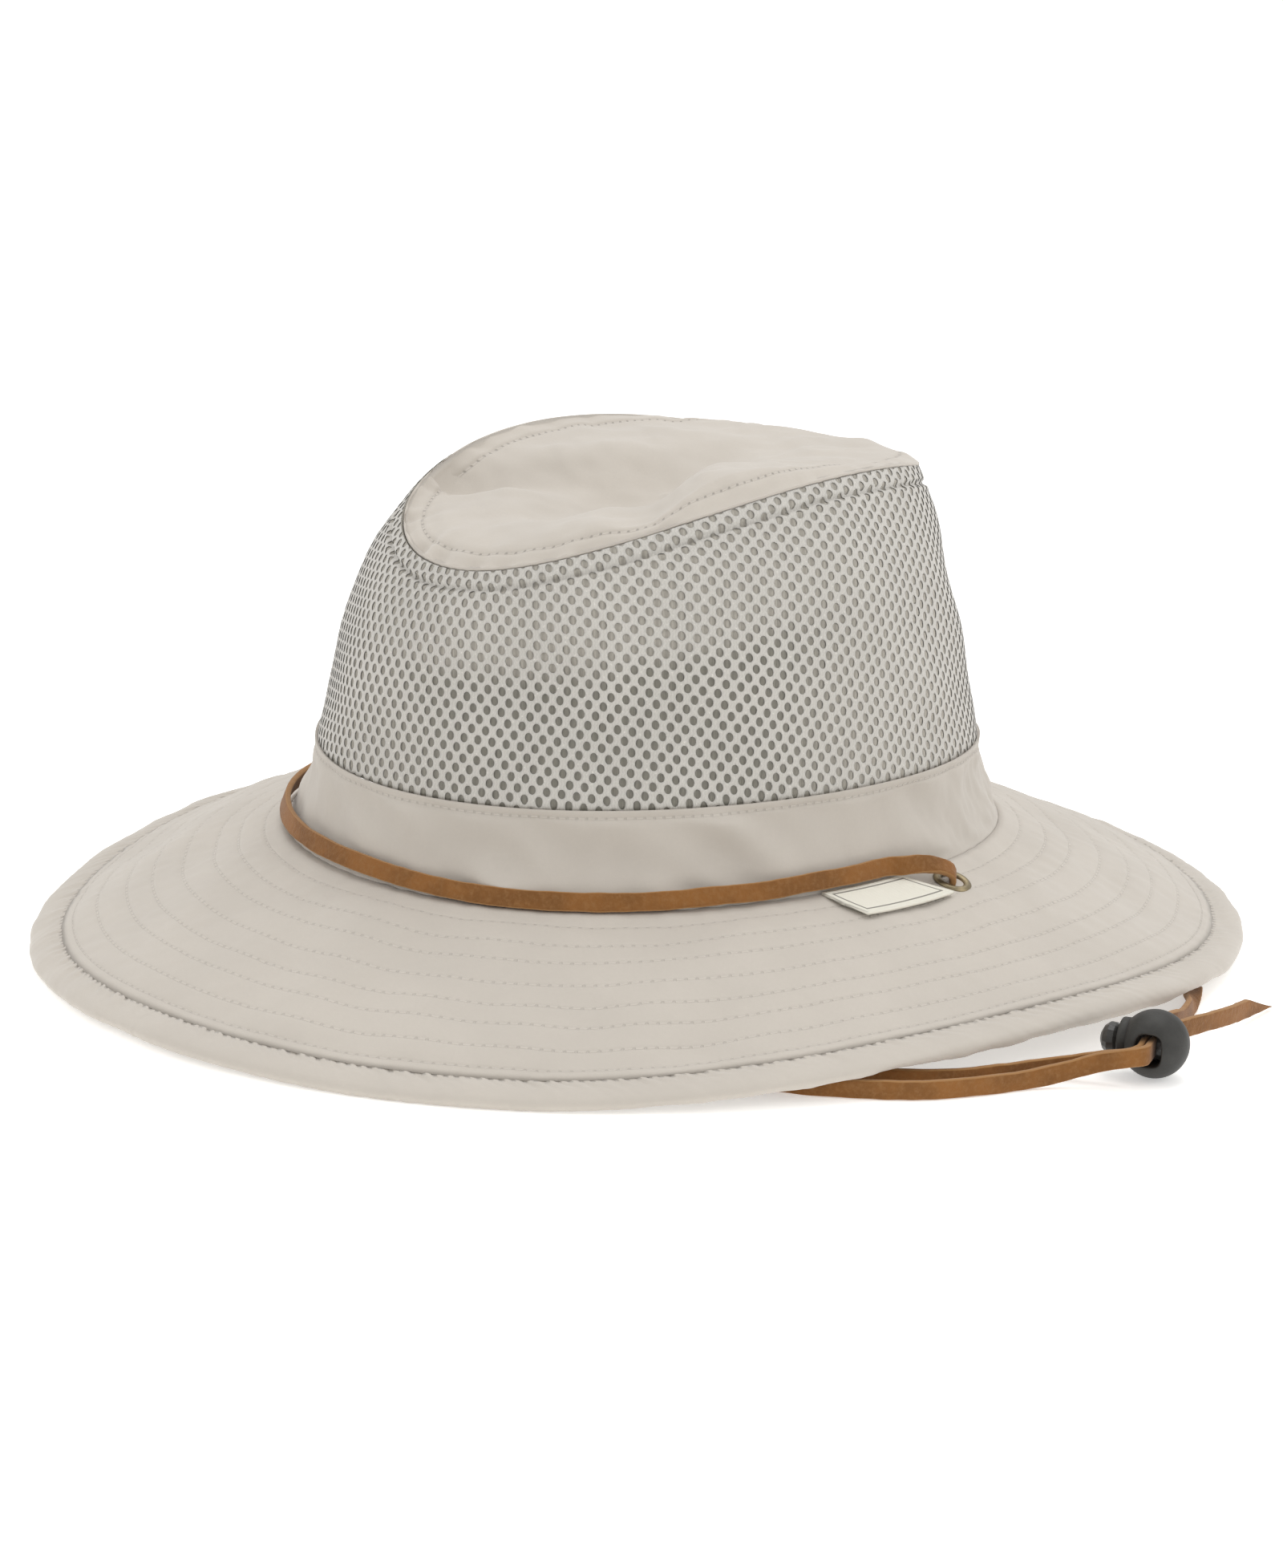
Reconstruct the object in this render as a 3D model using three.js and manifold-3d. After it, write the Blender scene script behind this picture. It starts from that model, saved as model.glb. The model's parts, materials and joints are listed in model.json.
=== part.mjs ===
// A safari hat of light cloth with a mesh crown, a stitched brim, a suede lace and a cord lock.
// Millimetres, +Z up, the front of the hat towards -Y and the wearer's left towards +X.
// The origin is the middle of the hat on the surface that its brim rests on.
import * as THREE from 'three';
import { mergeVertices } from 'three/addons/utils/BufferGeometryUtils.js';
import Module from 'manifold-3d';

const wasm = await Module();
wasm.setup();

// Small gap kept between pieces that touch.
const GAP = 0.3;

// Steps round the hat for every cloth ring.
const ROUND_STEPS = 56;

// Ovals seen from above: half width, half length, how far the middle lies behind the origin, squareness.
const BRIM_EDGE = { halfWidth: 155, halfLength: 178, back: 0, square: 2.0 };
const CROWN_BASE = { halfWidth: 91, halfLength: 100.5, back: -2, square: 2.1 };
const BAND_TOP = { halfWidth: 84.1, halfLength: 96.4, back: -0.9, square: 2.0 };
const TIP_SEAM = { halfWidth: 51.6, halfLength: 81, back: 1.3, square: 2.1 };

// Heights round the hat: mean, then how much the front, the sides and the quarters stand higher.
const EDGE_HEIGHT = { mean: 4.9, front: 0, sides: 3.4, quarters: 2.3 };
const BASE_HEIGHT = { mean: 33.9, front: -1.4, sides: 0.9, quarters: 0 };
const BAND_HEIGHT = { mean: 58, front: 0, sides: 1.5, quarters: 0 };
const SEAM_HEIGHT = { mean: 126.4, front: -5.4, sides: 7.7, quarters: 0 };

// How the worn crown's seam stands unevenly: how much the left side and the left front stand higher.
const SEAM_SKEW = { left: -0.7, twist: -1.35 };

// Wall thicknesses of the sewn pieces.
const BRIM_THICKNESS = 2.4;
const BAND_THICKNESS = 1.6;
const MESH_THICKNESS = 2.2;
const TIP_THICKNESS = 1.6;

// The hem is a padded roll round the brim: width of its band, radius of its edge, height of its seam.
const HEM = { width: 8.3, radius: 2.0, seamRise: 3.8, seamThickness: 2.4, restHeight: 2.3 };

// Share of the brim's drop that comes from its curling over towards the edge.
const BRIM_CURL = 0.18;

// How the crown's wall leans in at the front and at the back: its straight share, then its shoulder's power.
const WALL_LEAN = { front: 0.525, back: 0.81, frontShoulder: 4, backShoulder: 6 };

// A soft dent in the mesh at the left front: bearing, spread, depth, and the height of its middle.
const WALL_DENT = { bearing: 58, spread: 15, depth: 0.035, middle: 0.45, reach: 0.3 };

// The top of the crown: ridge height, how it falls to the front and back, and the lengthwise dent.
const CROWN_TOP = { ridge: 133.7, middle: 10, frontFall: 0.0038, level: 150, backFall: 0.0002, shoulder: 14 };
const CENTRE_DENT = { depth: 11, halfWidth: 13.5, halfLength: 35, back: -7.4 };
const PINCH_CREASE = { bearing: 46, depth: 6, halfWidth: 9, reach: 0.45, blunt: 4 };

// Flat suede lace: width, thickness, clipped corners, and its stand-off from the band's foot.
const LACE = { width: 5, thickness: 1.8, corner: 0.5, standOff: 0.4 };

// Eyelets in the brim, one each side: place, bore, barrel and flange.
const EYELET = { x: 97, y: 20.5, bore: 3.1, barrel: 3.6, flange: 5.4, rim: 0.9 };

// Cord lock: ball, socket for the plunger, hole for the laces, and the lock's place and turn.
const LOCK = { radius: 8.9, collar: 5.9, collarEnd: 9.0, socket: 4.75, socketEnd: -7.3 };
const LOCK_HOLE = { width: 6.8, height: 8.4, corner: 2.6 };
const LOCK_PLACE = { x: 176.6, y: 15.1, z: 9.1 };
const PLUNGER_BEARING = 208;
const PLUNGER = { radius: 4.4, inner: -4.0, neck: 3.7, tip: 14.3 };
const PLUNGER_WINDOW = { from: -1.35, to: 6.3, height: 6.0 };

// Label tab on the brim beside the lace: bearing of its middle, its sizes, and how the lace rises over it.
const LABEL = { bearing: 1.0, length: 31, width: 12.3, thickness: 1.0, tuck: 1.2, ramp: [11, 22] };

const material = (color, roughness, metalness = 0) =>
  new THREE.MeshStandardMaterial({ color, roughness, metalness });
const CLOTH = () => material(0xd0c8be, 0.85);
const MESH_CLOTH = () => material(0xc4c0b8, 0.8);
const SUEDE = () => material(0xa0662f, 0.95);
const ANTIQUE_BRASS = () => material(0x8d7a56, 0.4, 0.9);
const DARK_PLASTIC = () => material(0x3a3835, 0.45);
const LABEL_CLOTH = () => material(0xeae7dc, 0.8);

const radians = THREE.MathUtils.degToRad;
const lerp = THREE.MathUtils.lerp;
const smoothstep = THREE.MathUtils.smoothstep;

// Height of a line round the hat at a bearing: 0 is the left side, a quarter turn on is the front.
function heightAt(line, bearing) {
  return line.mean
    + line.front * Math.sin(bearing)
    + line.sides * Math.cos(2 * bearing)
    + line.quarters * Math.cos(4 * bearing);
}

// Height of the seam between the mesh and the crown's top.
function seamHeight(bearing) {
  const skew = SEAM_SKEW.left * Math.cos(bearing) + SEAM_SKEW.twist * Math.sin(2 * bearing);
  return heightAt(SEAM_HEIGHT, bearing) + skew;
}

// Point of an oval at a bearing, in plan, grown outwards by a margin.
function ovalPoint(oval, bearing, margin = 0) {
  const c = Math.cos(bearing);
  const s = Math.sin(bearing);
  const size = (Math.abs(c) ** oval.square + Math.abs(s) ** oval.square) ** (-1 / oval.square);
  return new THREE.Vector2(
    (oval.halfWidth + margin) * c * size,
    oval.back - (oval.halfLength + margin) * s * size,
  );
}

// Smooth bump of height 1 at a middle, falling off over a spread.
const bump = (value, middle, spread) => Math.exp(-(((value - middle) / spread) ** 2));

// How much narrower the dent makes the crown at a bearing and a height.
function dentAt(bearing, up) {
  const round = bump(THREE.MathUtils.radToDeg(bearing), WALL_DENT.bearing, WALL_DENT.spread);
  const high = bump(up, WALL_DENT.middle, WALL_DENT.reach) * smoothstep(up, 0, 0.2);
  return WALL_DENT.depth * round * high;
}

// Height of the hem's roll: it lies flat on the surface where the brim is lowest.
function edgeHeight(bearing) {
  const free = heightAt(EDGE_HEIGHT, bearing) - HEM.restHeight;
  return Math.max(0, free) + HEM.radius;
}

// Top face of the brim: along is 0 at the crown and 1 at the hem seam.
function brimPoint(bearing, along) {
  const inner = ovalPoint(CROWN_BASE, bearing, GAP);
  const outer = ovalPoint(BRIM_EDGE, bearing, -HEM.width - GAP);
  const plan = inner.lerp(outer, along);
  const drop = (1 - BRIM_CURL) * along + BRIM_CURL * along * along;
  const top = heightAt(BASE_HEIGHT, bearing);
  const low = edgeHeight(bearing) + HEM.seamRise;
  return new THREE.Vector3(plan.x, plan.y, lerp(top, low, drop));
}

// Outer face of the hatband: up is 0 at the brim and 1 at the mesh, with a flare at its foot.
function bandPoint(bearing, up) {
  const flare = (1 - up) * (1 - up);
  const plan = ovalPoint(BAND_TOP, bearing).lerp(ovalPoint(CROWN_BASE, bearing), flare);
  const height = lerp(heightAt(BASE_HEIGHT, bearing), heightAt(BAND_HEIGHT, bearing), up);
  return new THREE.Vector3(plan.x, plan.y, height);
}

// Outer face of the mesh wall: up is 0 at the band and 1 at the tip seam, with a rounded shoulder.
function wallPoint(bearing, up) {
  const forward = 0.5 + 0.5 * Math.sin(bearing);
  const straight = lerp(WALL_LEAN.back, WALL_LEAN.front, forward);
  const power = lerp(WALL_LEAN.backShoulder, WALL_LEAN.frontShoulder, forward);
  const lean = straight * up + (1 - straight) * up ** power;
  const pinch = 1 - dentAt(bearing, up);
  const plan = ovalPoint(BAND_TOP, bearing).lerp(ovalPoint(TIP_SEAM, bearing), lean);
  const low = heightAt(BAND_HEIGHT, bearing) + GAP;
  const height = lerp(low, seamHeight(bearing), up);
  return new THREE.Vector3(plan.x * pinch, plan.y * pinch, height);
}

// Free form of the crown's top, before it turns down to its seam.
function crownTopHeight(x, y) {
  const lengthwise = y - CROWN_TOP.middle;
  const levelling = 1 + (lengthwise / CROWN_TOP.level) ** 2;
  const fall = lengthwise < 0 ? CROWN_TOP.frontFall / levelling : CROWN_TOP.backFall;
  const acrossDent = x / CENTRE_DENT.halfWidth;
  const alongDent = (y - CENTRE_DENT.back) / CENTRE_DENT.halfLength;
  const dent = CENTRE_DENT.depth * Math.exp(-acrossDent * acrossDent - alongDent * alongDent);
  return CROWN_TOP.ridge - fall * lengthwise * lengthwise - dent;
}

// Depth of the creases that run from the front pinches into the lengthwise dent.
function creaseDepth(x, y, out) {
  const turn = radians(PINCH_CREASE.bearing);
  const across = Math.hypot(x, PINCH_CREASE.blunt);
  const aside = (across * Math.sin(turn) + y * Math.cos(turn)) / PINCH_CREASE.halfWidth;
  const reach = smoothstep(out, 0, PINCH_CREASE.reach);
  return PINCH_CREASE.depth * reach * Math.exp(-aside * aside);
}

// Outer face of the tip: out is 0 in the middle and 1 at the seam.
function tipPoint(bearing, out) {
  const rim = wallPoint(bearing, 1);
  const middle = TIP_SEAM.back;
  const x = rim.x * out;
  const y = middle + (rim.y - middle) * out;
  const full = crownTopHeight(x, y) - creaseDepth(x, y, out);
  const seam = rim.z + GAP;
  return new THREE.Vector3(x, y, lerp(seam, full, 1 - out ** CROWN_TOP.shoulder));
}

// Ways that a cut edge of cloth lies: flat for a wall's edge, upright for the brim's.
const FLAT_EDGE = new THREE.Vector3(1, 1, 0);
const UPRIGHT_EDGE = new THREE.Vector3(0, 0, 1);

// The same surface moved by a wall thickness along its own normal, or in its edge's plane at the ends.
// Surfaces that rise with t take a positive thickness, and those that fall a negative one.
function inset(surface, bearing, t, thickness, edge) {
  const step = 0.01;
  const round = surface(bearing - step, t).sub(surface(bearing + step, t));
  const along = surface(bearing, Math.min(t + step, 1)).sub(surface(bearing, Math.max(t - step, 0)));
  const normal = round.cross(along);
  if (t === 0 || t === 1) normal.multiply(edge);
  return surface(bearing, t).addScaledVector(normal.normalize(), -thickness);
}

// Turns every face of a closed body outwards.
function faceOutwards(geometry) {
  const points = geometry.attributes.position;
  const index = geometry.index.array;
  const [a, b, c] = [new THREE.Vector3(), new THREE.Vector3(), new THREE.Vector3()];
  let volume = 0;
  for (let i = 0; i < index.length; i += 3) {
    a.fromBufferAttribute(points, index[i]);
    b.fromBufferAttribute(points, index[i + 1]);
    c.fromBufferAttribute(points, index[i + 2]);
    volume += a.dot(b.cross(c));
  }
  if (volume < 0) index.reverse();
  return geometry;
}

// One closed body from point rows: each row is the closed outline of a section, or runs pole to pole.
function closedBody(rows, hasPoles) {
  const rowCount = rows.length;
  const size = rows[0].length;
  const positions = rows.flat().flatMap((p) => [p.x, p.y, p.z]);
  const index = [];
  for (let i = 0; i < rowCount; i += 1) {
    const next = (i + 1) % rowCount;
    const last = hasPoles ? size - 1 : size;
    for (let j = 0; j < last; j += 1) {
      const a = i * size + j;
      const b = i * size + ((j + 1) % size);
      const c = next * size + ((j + 1) % size);
      const d = next * size + j;
      if (!hasPoles || j > 0) index.push(a, b, d);
      if (!hasPoles || j < size - 2) index.push(b, c, d);
    }
  }
  const geometry = new THREE.BufferGeometry();
  geometry.setAttribute('position', new THREE.Float32BufferAttribute(positions, 3));
  geometry.setIndex(index);
  return faceOutwards(mergeVertices(geometry, 1e-4));
}

// Bearings of the rows round the hat.
const BEARINGS = Array.from({ length: ROUND_STEPS }, (_, i) => (2 * Math.PI * i) / ROUND_STEPS);
const spread = (count) => Array.from({ length: count + 1 }, (_, i) => i / count);

// A cloth ring with an outer and an inner face.
function clothRing(surface, steps, thickness, edge) {
  const rows = BEARINGS.map((bearing) => {
    const outer = steps.map((t) => surface(bearing, t));
    const inner = steps.map((t) => inset(surface, bearing, t, thickness, edge));
    return [...outer, ...inner.reverse()];
  });
  return closedBody(rows, false);
}

// The tip is one dome of cloth: its rows run from the outer pole over the rim to the inner pole.
function tipBody() {
  const rings = [0.24, 0.46, 0.66, 0.82, 0.92, 0.975, 1];
  const top = tipPoint(0, 0);
  const below = top.clone().setZ(top.z - TIP_THICKNESS);
  const rows = BEARINGS.map((bearing) => {
    const outer = rings.map((t) => tipPoint(bearing, t));
    const inner = rings.slice(0, -1).map((t) => inset(tipPoint, bearing, t, -TIP_THICKNESS, FLAT_EDGE));
    const seam = inset(wallPoint, bearing, 1, MESH_THICKNESS, FLAT_EDGE);
    seam.z += GAP;
    return [top, ...outer, seam, ...inner.reverse(), below];
  });
  return closedBody(rows, true);
}

// Section of the hem in its own plane: outwards from the brim's edge line, and up from the roll.
function hemSection() {
  const { width, radius, seamRise, seamThickness } = HEM;
  const section = [
    [-width, seamRise - GAP],
    [-width * 0.55, seamRise * 0.72],
  ];
  for (const degrees of [70, 20, -35]) {
    section.push([radius * (Math.cos(radians(degrees)) - 1), radius * Math.sin(radians(degrees))]);
  }
  section.push([-radius * 0.6, -radius], [-radius * 2.1, -radius]);
  section.push([-width, seamRise - seamThickness - GAP]);
  return section;
}

function hemBody() {
  const section = hemSection();
  const rows = BEARINGS.map((bearing) => {
    const lift = edgeHeight(bearing);
    return section.map(([outwards, up]) => {
      const plan = ovalPoint(BRIM_EDGE, bearing, outwards);
      return new THREE.Vector3(plan.x, plan.y, lift + up);
    });
  });
  return closedBody(rows, false);
}

// A geometry as a solid that can be cut, and back.
function toSolid(geometry) {
  const bare = geometry.clone();
  bare.deleteAttribute('normal');
  bare.deleteAttribute('uv');
  const merged = mergeVertices(bare, 1e-4);
  return new wasm.Manifold(new wasm.Mesh({
    numProp: 3,
    vertProperties: new Float32Array(merged.attributes.position.array),
    triVerts: new Uint32Array(merged.index.array),
  }));
}

function toGeometry(solid) {
  const mesh = solid.getMesh();
  const geometry = new THREE.BufferGeometry();
  geometry.setAttribute('position', new THREE.BufferAttribute(mesh.vertProperties, 3));
  geometry.setIndex(new THREE.BufferAttribute(mesh.triVerts, 1));
  return geometry;
}

// The brim's top face at a place seen from above: the point and its upward normal.
function brimFrame(x, y) {
  const bearing = Math.atan2(-(y - CROWN_BASE.back) / CROWN_BASE.halfLength, x / CROWN_BASE.halfWidth);
  const inner = brimPoint(bearing, 0);
  const outer = brimPoint(bearing, 1);
  const span = Math.hypot(outer.x - inner.x, outer.y - inner.y);
  const along = Math.hypot(x - inner.x, y - inner.y) / span;
  const step = 0.02;
  const slope = brimPoint(bearing, along + step).sub(brimPoint(bearing, along - step));
  const round = brimPoint(bearing + step, along).sub(brimPoint(bearing - step, along));
  const normal = slope.cross(round).normalize();
  if (normal.z < 0) normal.negate();
  return { point: new THREE.Vector3(x, y, brimPoint(bearing, along).z), normal };
}

const UPRIGHT = new THREE.Vector3(0, 1, 0);

// Moves a piece made round local Y into its place on the brim.
function placeOnBrim(geometry, side) {
  const { point, normal } = brimFrame(side * EYELET.x, EYELET.y);
  geometry.applyQuaternion(new THREE.Quaternion().setFromUnitVectors(UPRIGHT, normal));
  return geometry.translate(point.x, point.y, point.z);
}

// Closed outline of an eyelet's wall: a barrel with a rounded flange over and under the brim.
function eyeletGeometry(side) {
  const { bore, barrel, flange, rim } = EYELET;
  const top = GAP;
  const bottom = -BRIM_THICKNESS - GAP;
  const outline = [
    [bore, bottom - rim * 0.6],
    [bore + 0.5, bottom - rim],
    [flange - 0.6, bottom - rim * 0.7],
    [flange - 0.2, bottom],
    [barrel, bottom],
    [barrel, top],
    [flange, top],
    [flange - 0.3, top + rim * 0.6],
    [lerp(bore, flange, 0.5), top + rim],
    [bore, top + rim * 0.5],
    [bore, bottom - rim * 0.6],
  ];
  const points = outline.map(([r, y]) => new THREE.Vector2(r, y));
  return placeOnBrim(new THREE.LatheGeometry(points, 16), side);
}

function brimBody() {
  let brim = toSolid(clothRing(brimPoint, spread(6), -BRIM_THICKNESS, UPRIGHT_EDGE));
  for (const side of [1, -1]) {
    const hole = new THREE.CylinderGeometry(EYELET.barrel + GAP, EYELET.barrel + GAP, 12, 16);
    brim = brim.subtract(toSolid(placeOnBrim(hole, side)));
  }
  return toGeometry(brim);
}

// A smooth route whose frames keep the lace's wide face turned the way that each point says.
class LaceRoute extends THREE.CatmullRomCurve3 {
  constructor(rows) {
    super(rows.map(([x, y, z]) => new THREE.Vector3(x, y, z)), false, 'centripetal');
    this.faces = rows.map((row) => new THREE.Vector3(row[3], row[4], row[5]).normalize());
  }

  computeFrenetFrames(steps) {
    const tangents = [];
    const normals = [];
    const binormals = [];
    for (let i = 0; i <= steps; i += 1) {
      const tangent = this.getTangentAt(i / steps);
      const place = this.getUtoTmapping(i / steps) * (this.faces.length - 1);
      const low = Math.min(Math.floor(place), this.faces.length - 2);
      const face = this.faces[low].clone().lerp(this.faces[low + 1], place - low);
      const normal = face.addScaledVector(tangent, -face.dot(tangent)).normalize();
      tangents.push(tangent);
      normals.push(normal);
      binormals.push(tangent.clone().cross(normal));
    }
    return { tangents, normals, binormals };
  }
}

// Flat section with clipped corners: its thickness lies across the wide face.
function laceSection() {
  const t = LACE.thickness / 2;
  const w = LACE.width / 2;
  const c = LACE.corner;
  const corners = [
    [t, c - w], [t, w - c], [t - c, w], [c - t, w],
    [-t, w - c], [-t, c - w], [c - t, -w], [t - c, -w],
  ];
  return new THREE.Shape(corners.map(([x, y]) => new THREE.Vector2(x, y)));
}

function laceGeometry(rows, steps) {
  return new THREE.ExtrudeGeometry(laceSection(), { steps, extrudePath: new LaceRoute(rows) });
}

// The lace along the crown: on its edge against the band's foot from side to side round the front.
function crownLaceRows() {
  const rows = [];
  const first = -2;
  const last = 182;
  const strides = 24;
  for (let i = 0; i <= strides; i += 1) {
    const degrees = lerp(first, last, i / strides);
    const bearing = radians(degrees);
    const plan = ovalPoint(CROWN_BASE, bearing, LACE.standOff + LACE.thickness / 2);
    const overLabel = 1 - smoothstep(Math.abs(degrees - LABEL.bearing), ...LABEL.ramp);
    const foot = heightAt(BASE_HEIGHT, bearing) + GAP + LABEL.tuck * overLabel;
    rows.push([plan.x, plan.y, foot + LACE.width / 2, Math.cos(bearing), -Math.sin(bearing), 0]);
  }
  const leave = [
    [96.66, 20.44, 31.54, 0.65, 0.75, -0.28],
    [97.38, 20.57, 33.67, 0.65, 0.75, -0.28],
    [97.7, 19.6, 35.9, 0.7, 0.7, 0.1],
    [96.5, 15.8, 37.8, 0.7, 0.55, 0.45],
    [94.6, 10.5, 38.7, 0.85, 0.3, 0.4],
    [93.2, 5.0, 38.8, 0.97, 0.1, 0.15],
  ];
  const mirrored = leave.map(([x, y, z, u, v, w]) => [-x, y, z, -u, v, w]);
  return [...leave, ...rows, ...mirrored.reverse()];
}

// Free laces, each from its eyelet down to the surface, out under the brim, through the lock and on.
// Columns: place x, y, z, then the way that the wide face looks.
const LEFT_LACE_ROUTE = [
  [96.57, 20.42, 31.25, 0.65, 0.75, -0.28],
  [95.85, 20.29, 29.12, 0.65, 0.75, -0.28],
  [94.9, 19.9, 26.0, 0.55, 0.85, -0.25],
  [93.5, 18.6, 19.4, 0.3, 1, -0.25],
  [92.6, 15.5, 10.8, 0.1, 1, -0.5],
  [92.3, 9.5, 4.2, 0, 0.7, -1],
  [93.0, 1.0, 1.4, 0, 0, -1],
  [94.8, -12.0, 1.1, 0, 0, -1],
  [101.0, -29.0, 1.1, 0, 0, -1],
  [113.78, -42.72, 1.5, 0.3, -0.3, -1],
  [127.56, -49.94, 2.4, 0.4, -1, -0.6],
  [137.21, -48.54, 2.7, 0.6, -0.8, 0],
  [146.1, -41.4, 2.7, 0.75, -0.65, 0],
  [152.4, -31.9, 2.7, 0.85, -0.5, 0],
  [156.4, -21.4, 2.8, 0.93, -0.36, 0],
  [159.8, -11.2, 3.8, 0.9, -0.45, 0],
  [165.2, -3.6, 5.9, 0.75, -0.65, 0],
  [171.8, 1.3, 7.8, 0.6, -0.8, 0],
  [177.5, 3.9, 8.9, 0.7, -0.7, 0],
  [178.9, 6.8, 9.1, 0.95, 0.25, 0],
  [177.29, 9.8, 9.1, 0.883, 0.469, 0],
  [174.94, 14.22, 9.1, 0.883, 0.469, 0],
  [170.72, 22.17, 9.1, 0.883, 0.469, 0],
  [167.5, 28.9, 9.7, 0.83, 0.5, 0.2],
  [163.2, 37.1, 8.3, 0.6, 0.5, 0.7],
  [156.1, 48.1, 4.6, 0.3, 0.4, 1],
  [147.6, 61.1, 1.9, 0.1, 0.1, 1],
  [139.6, 71.1, 1.1, 0, 0, 1],
  [132.6, 79.6, 1.1, 0, 0, 1],
];
const RIGHT_LACE_ROUTE = [
  [-96.57, 20.42, 31.25, -0.65, 0.75, -0.28],
  [-95.85, 20.29, 29.12, -0.65, 0.75, -0.28],
  [-94.9, 19.9, 26.0, -0.55, 0.85, -0.25],
  [-93.2, 18.6, 19.4, -0.3, 1, -0.25],
  [-91.0, 15.5, 10.8, -0.1, 1, -0.5],
  [-86.5, 9.5, 4.0, 0, 0.7, -1],
  [-77.5, 2.0, 1.5, 0, 0, -1],
  [-64.0, -8.0, 1.2, 0, 0, -1],
  [-42.0, -23.0, 1.2, 0, 0, -1],
  [-16.0, -38.0, 1.2, 0, 0, -1],
  [13.0, -52.0, 1.2, 0, 0, -1],
  [44.0, -64.0, 1.2, 0, 0, -1],
  [76.0, -73.0, 1.2, 0, 0, -1],
  [104.78, -76.72, 1.8, 0.1, -0.4, -1],
  [123.06, -73.94, 2.6, 0.4, -1, -0.5],
  [135.21, -66.04, 2.7, 0.65, -0.75, 0],
  [145.8, -56.3, 2.7, 0.75, -0.65, 0],
  [154.4, -45.8, 2.7, 0.8, -0.6, 0],
  [160.2, -32.4, 2.7, 0.9, -0.4, 0],
  [164.2, -18.9, 2.8, 0.93, -0.36, 0],
  [168.4, -9.9, 4.3, 0.85, -0.5, 0],
  [173.9, -2.4, 6.8, 0.75, -0.65, 0],
  [179.6, 1.1, 8.6, 0.7, -0.7, 0],
  [181.9, 5.4, 9.1, 0.97, -0.15, 0],
  [180.6, 8.3, 9.1, 0.9, 0.44, 0],
  [179.15, 10.79, 9.1, 0.883, 0.469, 0],
  [176.8, 15.2, 9.1, 0.883, 0.469, 0],
  [172.58, 23.15, 9.1, 0.883, 0.469, 0],
  [170.6, 32.1, 8.4, 0.95, 0.3, 0],
  [167.9, 44.6, 6.2, 0.95, 0.3, 0],
  [164.4, 57.6, 4.0, 0.95, 0.35, 0],
  [160.0, 69.6, 2.9, 0.95, 0.35, 0],
  [155.6, 82.6, 2.7, 0.95, 0.35, 0],
];

// Turned shape with its axis along local Y, from rows of place along the axis and radius.
function turned(outline, sides) {
  return new THREE.LatheGeometry(outline.map(([along, r]) => new THREE.Vector2(r, along)), sides);
}

// Straight cutter through the lock along local Z with rounded corners, between two places along Y.
function windowCutter(from, to, height, corner) {
  const shape = new THREE.Shape();
  const h = height / 2;
  shape.moveTo(-h + corner, from);
  shape.lineTo(h - corner, from);
  shape.absarc(h - corner, from + corner, corner, -Math.PI / 2, 0);
  shape.lineTo(h, to - corner);
  shape.absarc(h - corner, to - corner, corner, 0, Math.PI / 2);
  shape.lineTo(-h + corner, to);
  shape.absarc(-h + corner, to - corner, corner, Math.PI / 2, Math.PI);
  shape.lineTo(-h, from + corner);
  shape.absarc(-h + corner, from + corner, corner, Math.PI, 1.5 * Math.PI);
  const depth = 24;
  const cutter = new THREE.ExtrudeGeometry(shape, { depth, bevelEnabled: false, curveSegments: 3 });
  return toSolid(cutter.translate(0, 0, -depth / 2));
}

function lockGeometry() {
  const { radius, collar, collarEnd, socket, socketEnd } = LOCK;
  const outline = [];
  const arcSteps = 9;
  const lastAngle = Math.acos(collar / radius);
  for (let i = 0; i <= arcSteps; i += 1) {
    const angle = lerp(-Math.PI / 2, lastAngle, i / arcSteps);
    outline.push([radius * Math.sin(angle), i === 0 ? 0 : radius * Math.cos(angle)]);
  }
  outline.push([collarEnd - 0.5, collar], [collarEnd, collar - 0.5], [collarEnd, socket]);
  outline.push([socketEnd, socket], [socketEnd, 0]);
  const { width, height, corner } = LOCK_HOLE;
  const cutter = windowCutter(-width / 2, width / 2, height, corner);
  return toGeometry(toSolid(turned(outline, 18)).subtract(cutter));
}

function plungerGeometry() {
  const { radius, inner, neck, tip } = PLUNGER;
  const shoulder = LOCK.collarEnd - 0.4;
  const outline = [
    [inner, 0], [inner, radius], [shoulder, radius], [shoulder + 0.9, neck],
    [shoulder + 1.7, radius - 0.2], [tip - 2.4, radius - 0.1], [tip - 1, radius * 0.72],
    [tip - 0.2, radius * 0.35], [tip, 0],
  ];
  const { from, to, height } = PLUNGER_WINDOW;
  return toGeometry(toSolid(turned(outline, 16)).subtract(windowCutter(from, to, height, 0.8)));
}

// Turns a lock piece so that local Y is the plunger's axis, local X is up and local Z faces the laces.
function placeLockPiece(mesh) {
  const bearing = radians(PLUNGER_BEARING);
  const axis = new THREE.Vector3(Math.cos(bearing), Math.sin(bearing), 0);
  const up = new THREE.Vector3(0, 0, 1);
  const turn = new THREE.Matrix4().makeBasis(up, axis, up.clone().cross(axis));
  mesh.quaternion.setFromRotationMatrix(turn);
  mesh.position.set(LOCK_PLACE.x, LOCK_PLACE.y, LOCK_PLACE.z);
  return mesh;
}

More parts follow.
